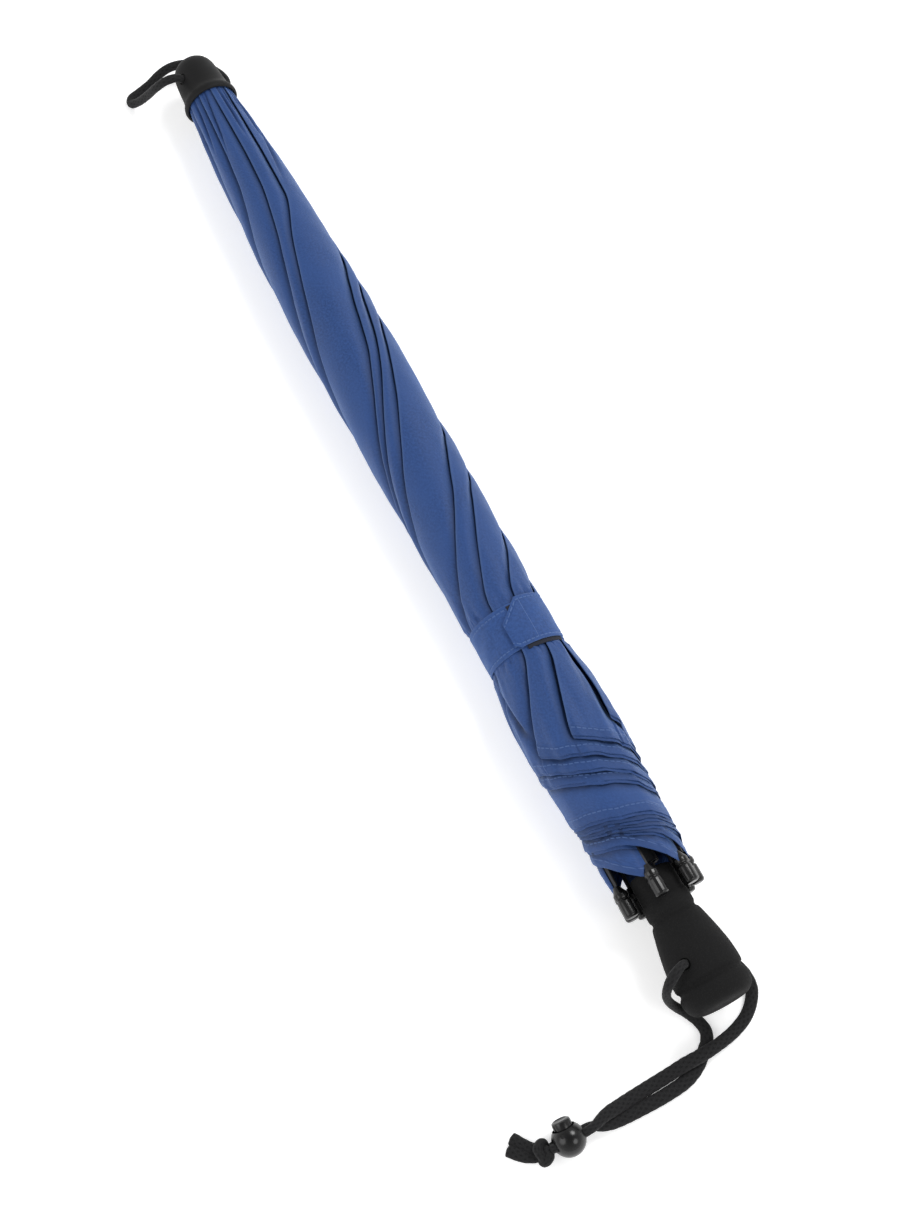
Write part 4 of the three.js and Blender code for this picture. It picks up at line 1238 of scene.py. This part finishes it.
class UMBRELLA_OT_cap(bpy.types.Operator):
    """Turns the rubber cap, with its rolled lip and the hole for the loop"""
    bl_idname = "umbrella.cap"
    bl_label = "Cap"

    def execute(self, context):
        top = TOP_X
        profile = [
            (top, 0), (top - 0.05, 3), (top - 0.35, 5.6), (top - 1.0, 7.8), (top - 2.1, 9.6),
            (top - 3.6, 11.0), (top - 5.6, 12.1), (top - 8.4, 12.9), (top - 12, 13.4), (top - 17, 13.8),
            (top - 22, 14.15), (top - 25.4, 14.5), (top - 27.4, 15.05), (top - 28.8, 15.8), (top - 30, 16.35),
            (top - 31.2, 16.6), (top - 32.4, 16.5), (top - 33.2, 16.1), (top - 33.6, 15.5),
            (top - 33.4, 14.95), (top - 32.6, 14.6), (top - 30, 14.1), (292, 13.5), (292, 4.8),
            (296.6, 4.8), (296.6, 0)]
        cap = turned("rubber_cap", profile)
        turn = math.radians(LOOP_HOLE_ANGLE)
        away = Vector((0, -math.cos(turn), math.sin(turn)))
        middle = Vector((LOOP_HOLE_X, 0, AXIS_Z))
        hole = bar(middle, away, 2.75, 60, 40)
        cut_away(cap, hole)
        for side in (-1, 1):
            dimple = bar(middle + away * (side * 13.3), away * side, 2.4, 1.8, 40, 3.7)
            cut_away(cap, dimple)
        clean_mesh(cap, 42)
        apply_modifier(cap, "BEVEL", width=0.3 * MM, segments=3, limit_method="ANGLE",
                       angle_limit=math.radians(42))
        wear(clean_mesh(cap, 42), finish_for("cap_rubber"))
        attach(cap, "frame")
        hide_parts("bell_cap")
        return {"FINISHED"}


class UMBRELLA_OT_tips(bpy.types.Operator):
    """Turns the moulded tip on each rib's end, faceted and with a collar"""
    bl_idname = "umbrella.tips"
    bl_label = "Rib tips"

    def execute(self, context):
        x = TIP_END_X
        profile = [
            (x, 0), (x, 2.4), (x + 0.25, 3.05), (x + 0.8, 3.55), (x + 1.5, 3.75), (x + 8.6, 3.75),
            (x + 9.3, 3.55), (x + 9.6, 3.05), (x + 10.1, 3.05), (x + 10.4, 3.55), (x + 11.0, 3.8),
            (x + 13.0, 3.8), (x + 13.7, 3.4), (x + 15.4, 2.5), (x + 17, 2.0), (x + 17, 1.45), (x + 9, 1.45),
            (x + 9, 0)]
        for index, angle in enumerate(TIP_ANGLES):
            centre = Vector(across_axis(0, angle, TIP_CIRCLE_R))
            side = Vector((0, -math.cos(math.radians(angle + 11)), math.sin(math.radians(angle + 11))))
            tip = turned(f"moulded_tip_{index + 1}", profile, centre, (1, 0, 0), side, steps=16)
            apply_modifier(tip, "BEVEL", width=0.12 * MM, segments=2, limit_method="ANGLE",
                           angle_limit=math.radians(15))
            only(tip)
            bpy.ops.object.shade_smooth_by_angle(angle=math.radians(24))
            wear(tip, finish_for("gloss_plastic"))
            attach(tip, f"rib_{index + 1}")
            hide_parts(f"rib_tip_{index + 1}")
        return {"FINISHED"}


class UMBRELLA_OT_frame_finishes(bpy.types.Operator):
    """Gives the frame's own pieces their finishes"""
    bl_idname = "umbrella.frame_finishes"
    bl_label = "Frame finishes"

    def execute(self, context):
        finishes = {
            "shaft": "shaft_fibre", "top_notch": "nylon", "notch_wire": "steel", "notch_pin": "steel",
            "runner": "nylon", "lower_catch": "steel", "upper_catch": "steel", "handle_core": "nylon",
            "cord_lock_spring": "steel",
        }
        for name, piece in frame["nodes"].items():
            if name.startswith("rib_joiner"):
                slot = "nylon"
            elif name.startswith("stretcher"):
                slot = "steel"
            elif name.startswith("rib_") and not name.startswith("rib_tip"):
                slot = "shaft_fibre"
            else:
                slot = finishes.get(name)
            if slot is None:
                continue
            piece.data.materials.clear()
            piece.data.materials.append(finish_for(slot))
        return {"FINISHED"}


# Stage


CAMERA_PLACE = Vector((-0.41684, 0.20066, 0.93352))
CAMERA_RIGHT = Vector((-0.456811, -0.889564, 0.000000))
CAMERA_UP = Vector((0.818848, -0.420497, 0.390731))
CAMERA_BACK = Vector((-0.347580, 0.178490, 0.920505))


def area_light(name, place, target, power, size):
    light = bpy.data.lights.new(name, "AREA")
    light.shape = "DISK"
    light.size = size
    light.energy = power
    lamp = bpy.data.objects.new(name, light)
    bpy.context.scene.collection.objects.link(lamp)
    lamp.location = place
    lamp.rotation_euler = (Vector(target) - Vector(place)).to_track_quat("-Z", "Y").to_euler()
    return lamp


class UMBRELLA_OT_stage(bpy.types.Operator):
    """Sets the camera, the pale floor and the soft studio light"""
    bl_idname = "umbrella.stage"
    bl_label = "Stage"

    def execute(self, context):
        stage = settings().stage
        scene = context.scene
        camera = bpy.data.cameras.new("studio_camera")
        camera.sensor_width = 36
        camera.lens = stage.lens
        camera.clip_start = 0.01
        eye = bpy.data.objects.new("studio_camera", camera)
        scene.collection.objects.link(eye)
        turn = Matrix((CAMERA_RIGHT, CAMERA_UP, CAMERA_BACK)).transposed()
        eye.matrix_world = Matrix.Translation(CAMERA_PLACE) @ turn.to_4x4()
        scene.camera = eye

        clear_selection()
        bpy.ops.mesh.primitive_plane_add(size=stage.floor_size, location=(0, 0, -0.0002))
        floor = take_new("studio_floor")
        material, tree, shader = new_material("studio_paper", Specular_IOR_Level=0.1)
        grain = _grouped(tree, grain_group(), {"Vector": object_place(tree), "Fine Scale": 500.0,
                                               "Broad Scale": 20.0})
        tree.links.new(mix_colour(tree, grain.outputs["Mottle"], (0.93, 0.93, 0.93, 1),
                                  (0.95, 0.95, 0.95, 1)), shader.inputs["Base Color"])
        shader.inputs["Roughness"].default_value = 0.9
        shader.inputs["Emission Color"].default_value = (1, 1, 1, 1)
        shader.inputs["Emission Strength"].default_value = stage.floor_glow
        floor.data.materials.append(material)

        world = bpy.data.worlds.new("studio_surround")
        scene.world = world
        world.use_nodes = True
        sky = world.node_tree
        height = node(sky, "ShaderNodeSeparateXYZ", {0: node(sky, "ShaderNodeTexCoord").outputs["Generated"]})
        level = node(sky, "ShaderNodeMapRange", {
            0: height.outputs[2], 1: 0.0, 2: 1.0, 3: stage.horizon_strength, 4: stage.zenith_strength})
        sky.links.new(level.outputs[0], sky.nodes["Background"].inputs[1])
        sky.nodes["Background"].inputs[0].default_value = (1, 1, 1, 1)
        area_light("key_light", (0.35, -1.15, 1.65), (0, 0, 0), stage.key_power, 0.9)
        area_light("edge_light", (-1.2, -0.6, 1.1), (-0.1, 0, 0), stage.key_power * 0.25, 0.8)
        area_light("fill_light", (-0.2, 1.3, 1.1), (0, 0, 0), stage.key_power * 0.4, 1.2)
        scene.view_settings.view_transform = "Standard"
        return {"FINISHED"}


# The add-on


class UmbrellaSettings(bpy.types.PropertyGroup):
    canopy: PointerProperty(type=CanopySettings)
    cords: PointerProperty(type=CordSettings)
    trim: PointerProperty(type=TrimSettings)
    stage: PointerProperty(type=StageSettings)


STEPS = (
    UMBRELLA_OT_stage, UMBRELLA_OT_cords, UMBRELLA_OT_knot, UMBRELLA_OT_cord_lock, UMBRELLA_OT_canopy,
    UMBRELLA_OT_strap, UMBRELLA_OT_grip, UMBRELLA_OT_cap, UMBRELLA_OT_tips, UMBRELLA_OT_frame_finishes,
)


class UMBRELLA_PT_panel(bpy.types.Panel):
    """Lists the steps that build the umbrella and their settings"""
    bl_idname = "UMBRELLA_PT_panel"
    bl_label = "Umbrella"
    bl_space_type = "VIEW_3D"
    bl_region_type = "UI"
    bl_category = "Umbrella"

    def draw(self, context):
        column = self.layout.column()
        for step in STEPS:
            column.operator(step.bl_idname)
        for group in ("canopy", "cords", "trim", "stage"):
            values = getattr(settings(), group)
            box = self.layout.box()
            box.label(text=group.title())
            for key in values.__annotations__:
                box.prop(values, key)


CLASSES = (CanopySettings, CordSettings, TrimSettings, StageSettings, UmbrellaSettings) + STEPS + (
    UMBRELLA_PT_panel,)


def register():
    for item in CLASSES:
        bpy.utils.register_class(item)
    bpy.types.Scene.umbrella = PointerProperty(type=UmbrellaSettings)


def unregister():
    del bpy.types.Scene.umbrella
    for item in reversed(CLASSES):
        bpy.utils.unregister_class(item)


def main():
    register()
    bpy.ops.umbrella.stage()
    bpy.ops.umbrella.cords()
    bpy.ops.umbrella.knot()
    bpy.ops.umbrella.cord_lock()
    declare_cords()
    bpy.ops.umbrella.canopy()
    bpy.ops.umbrella.strap()
    bpy.ops.umbrella.grip()
    bpy.ops.umbrella.cap()
    bpy.ops.umbrella.tips()
    bpy.ops.umbrella.frame_finishes()
    clear_selection()


if __name__ == "__main__":
    main()
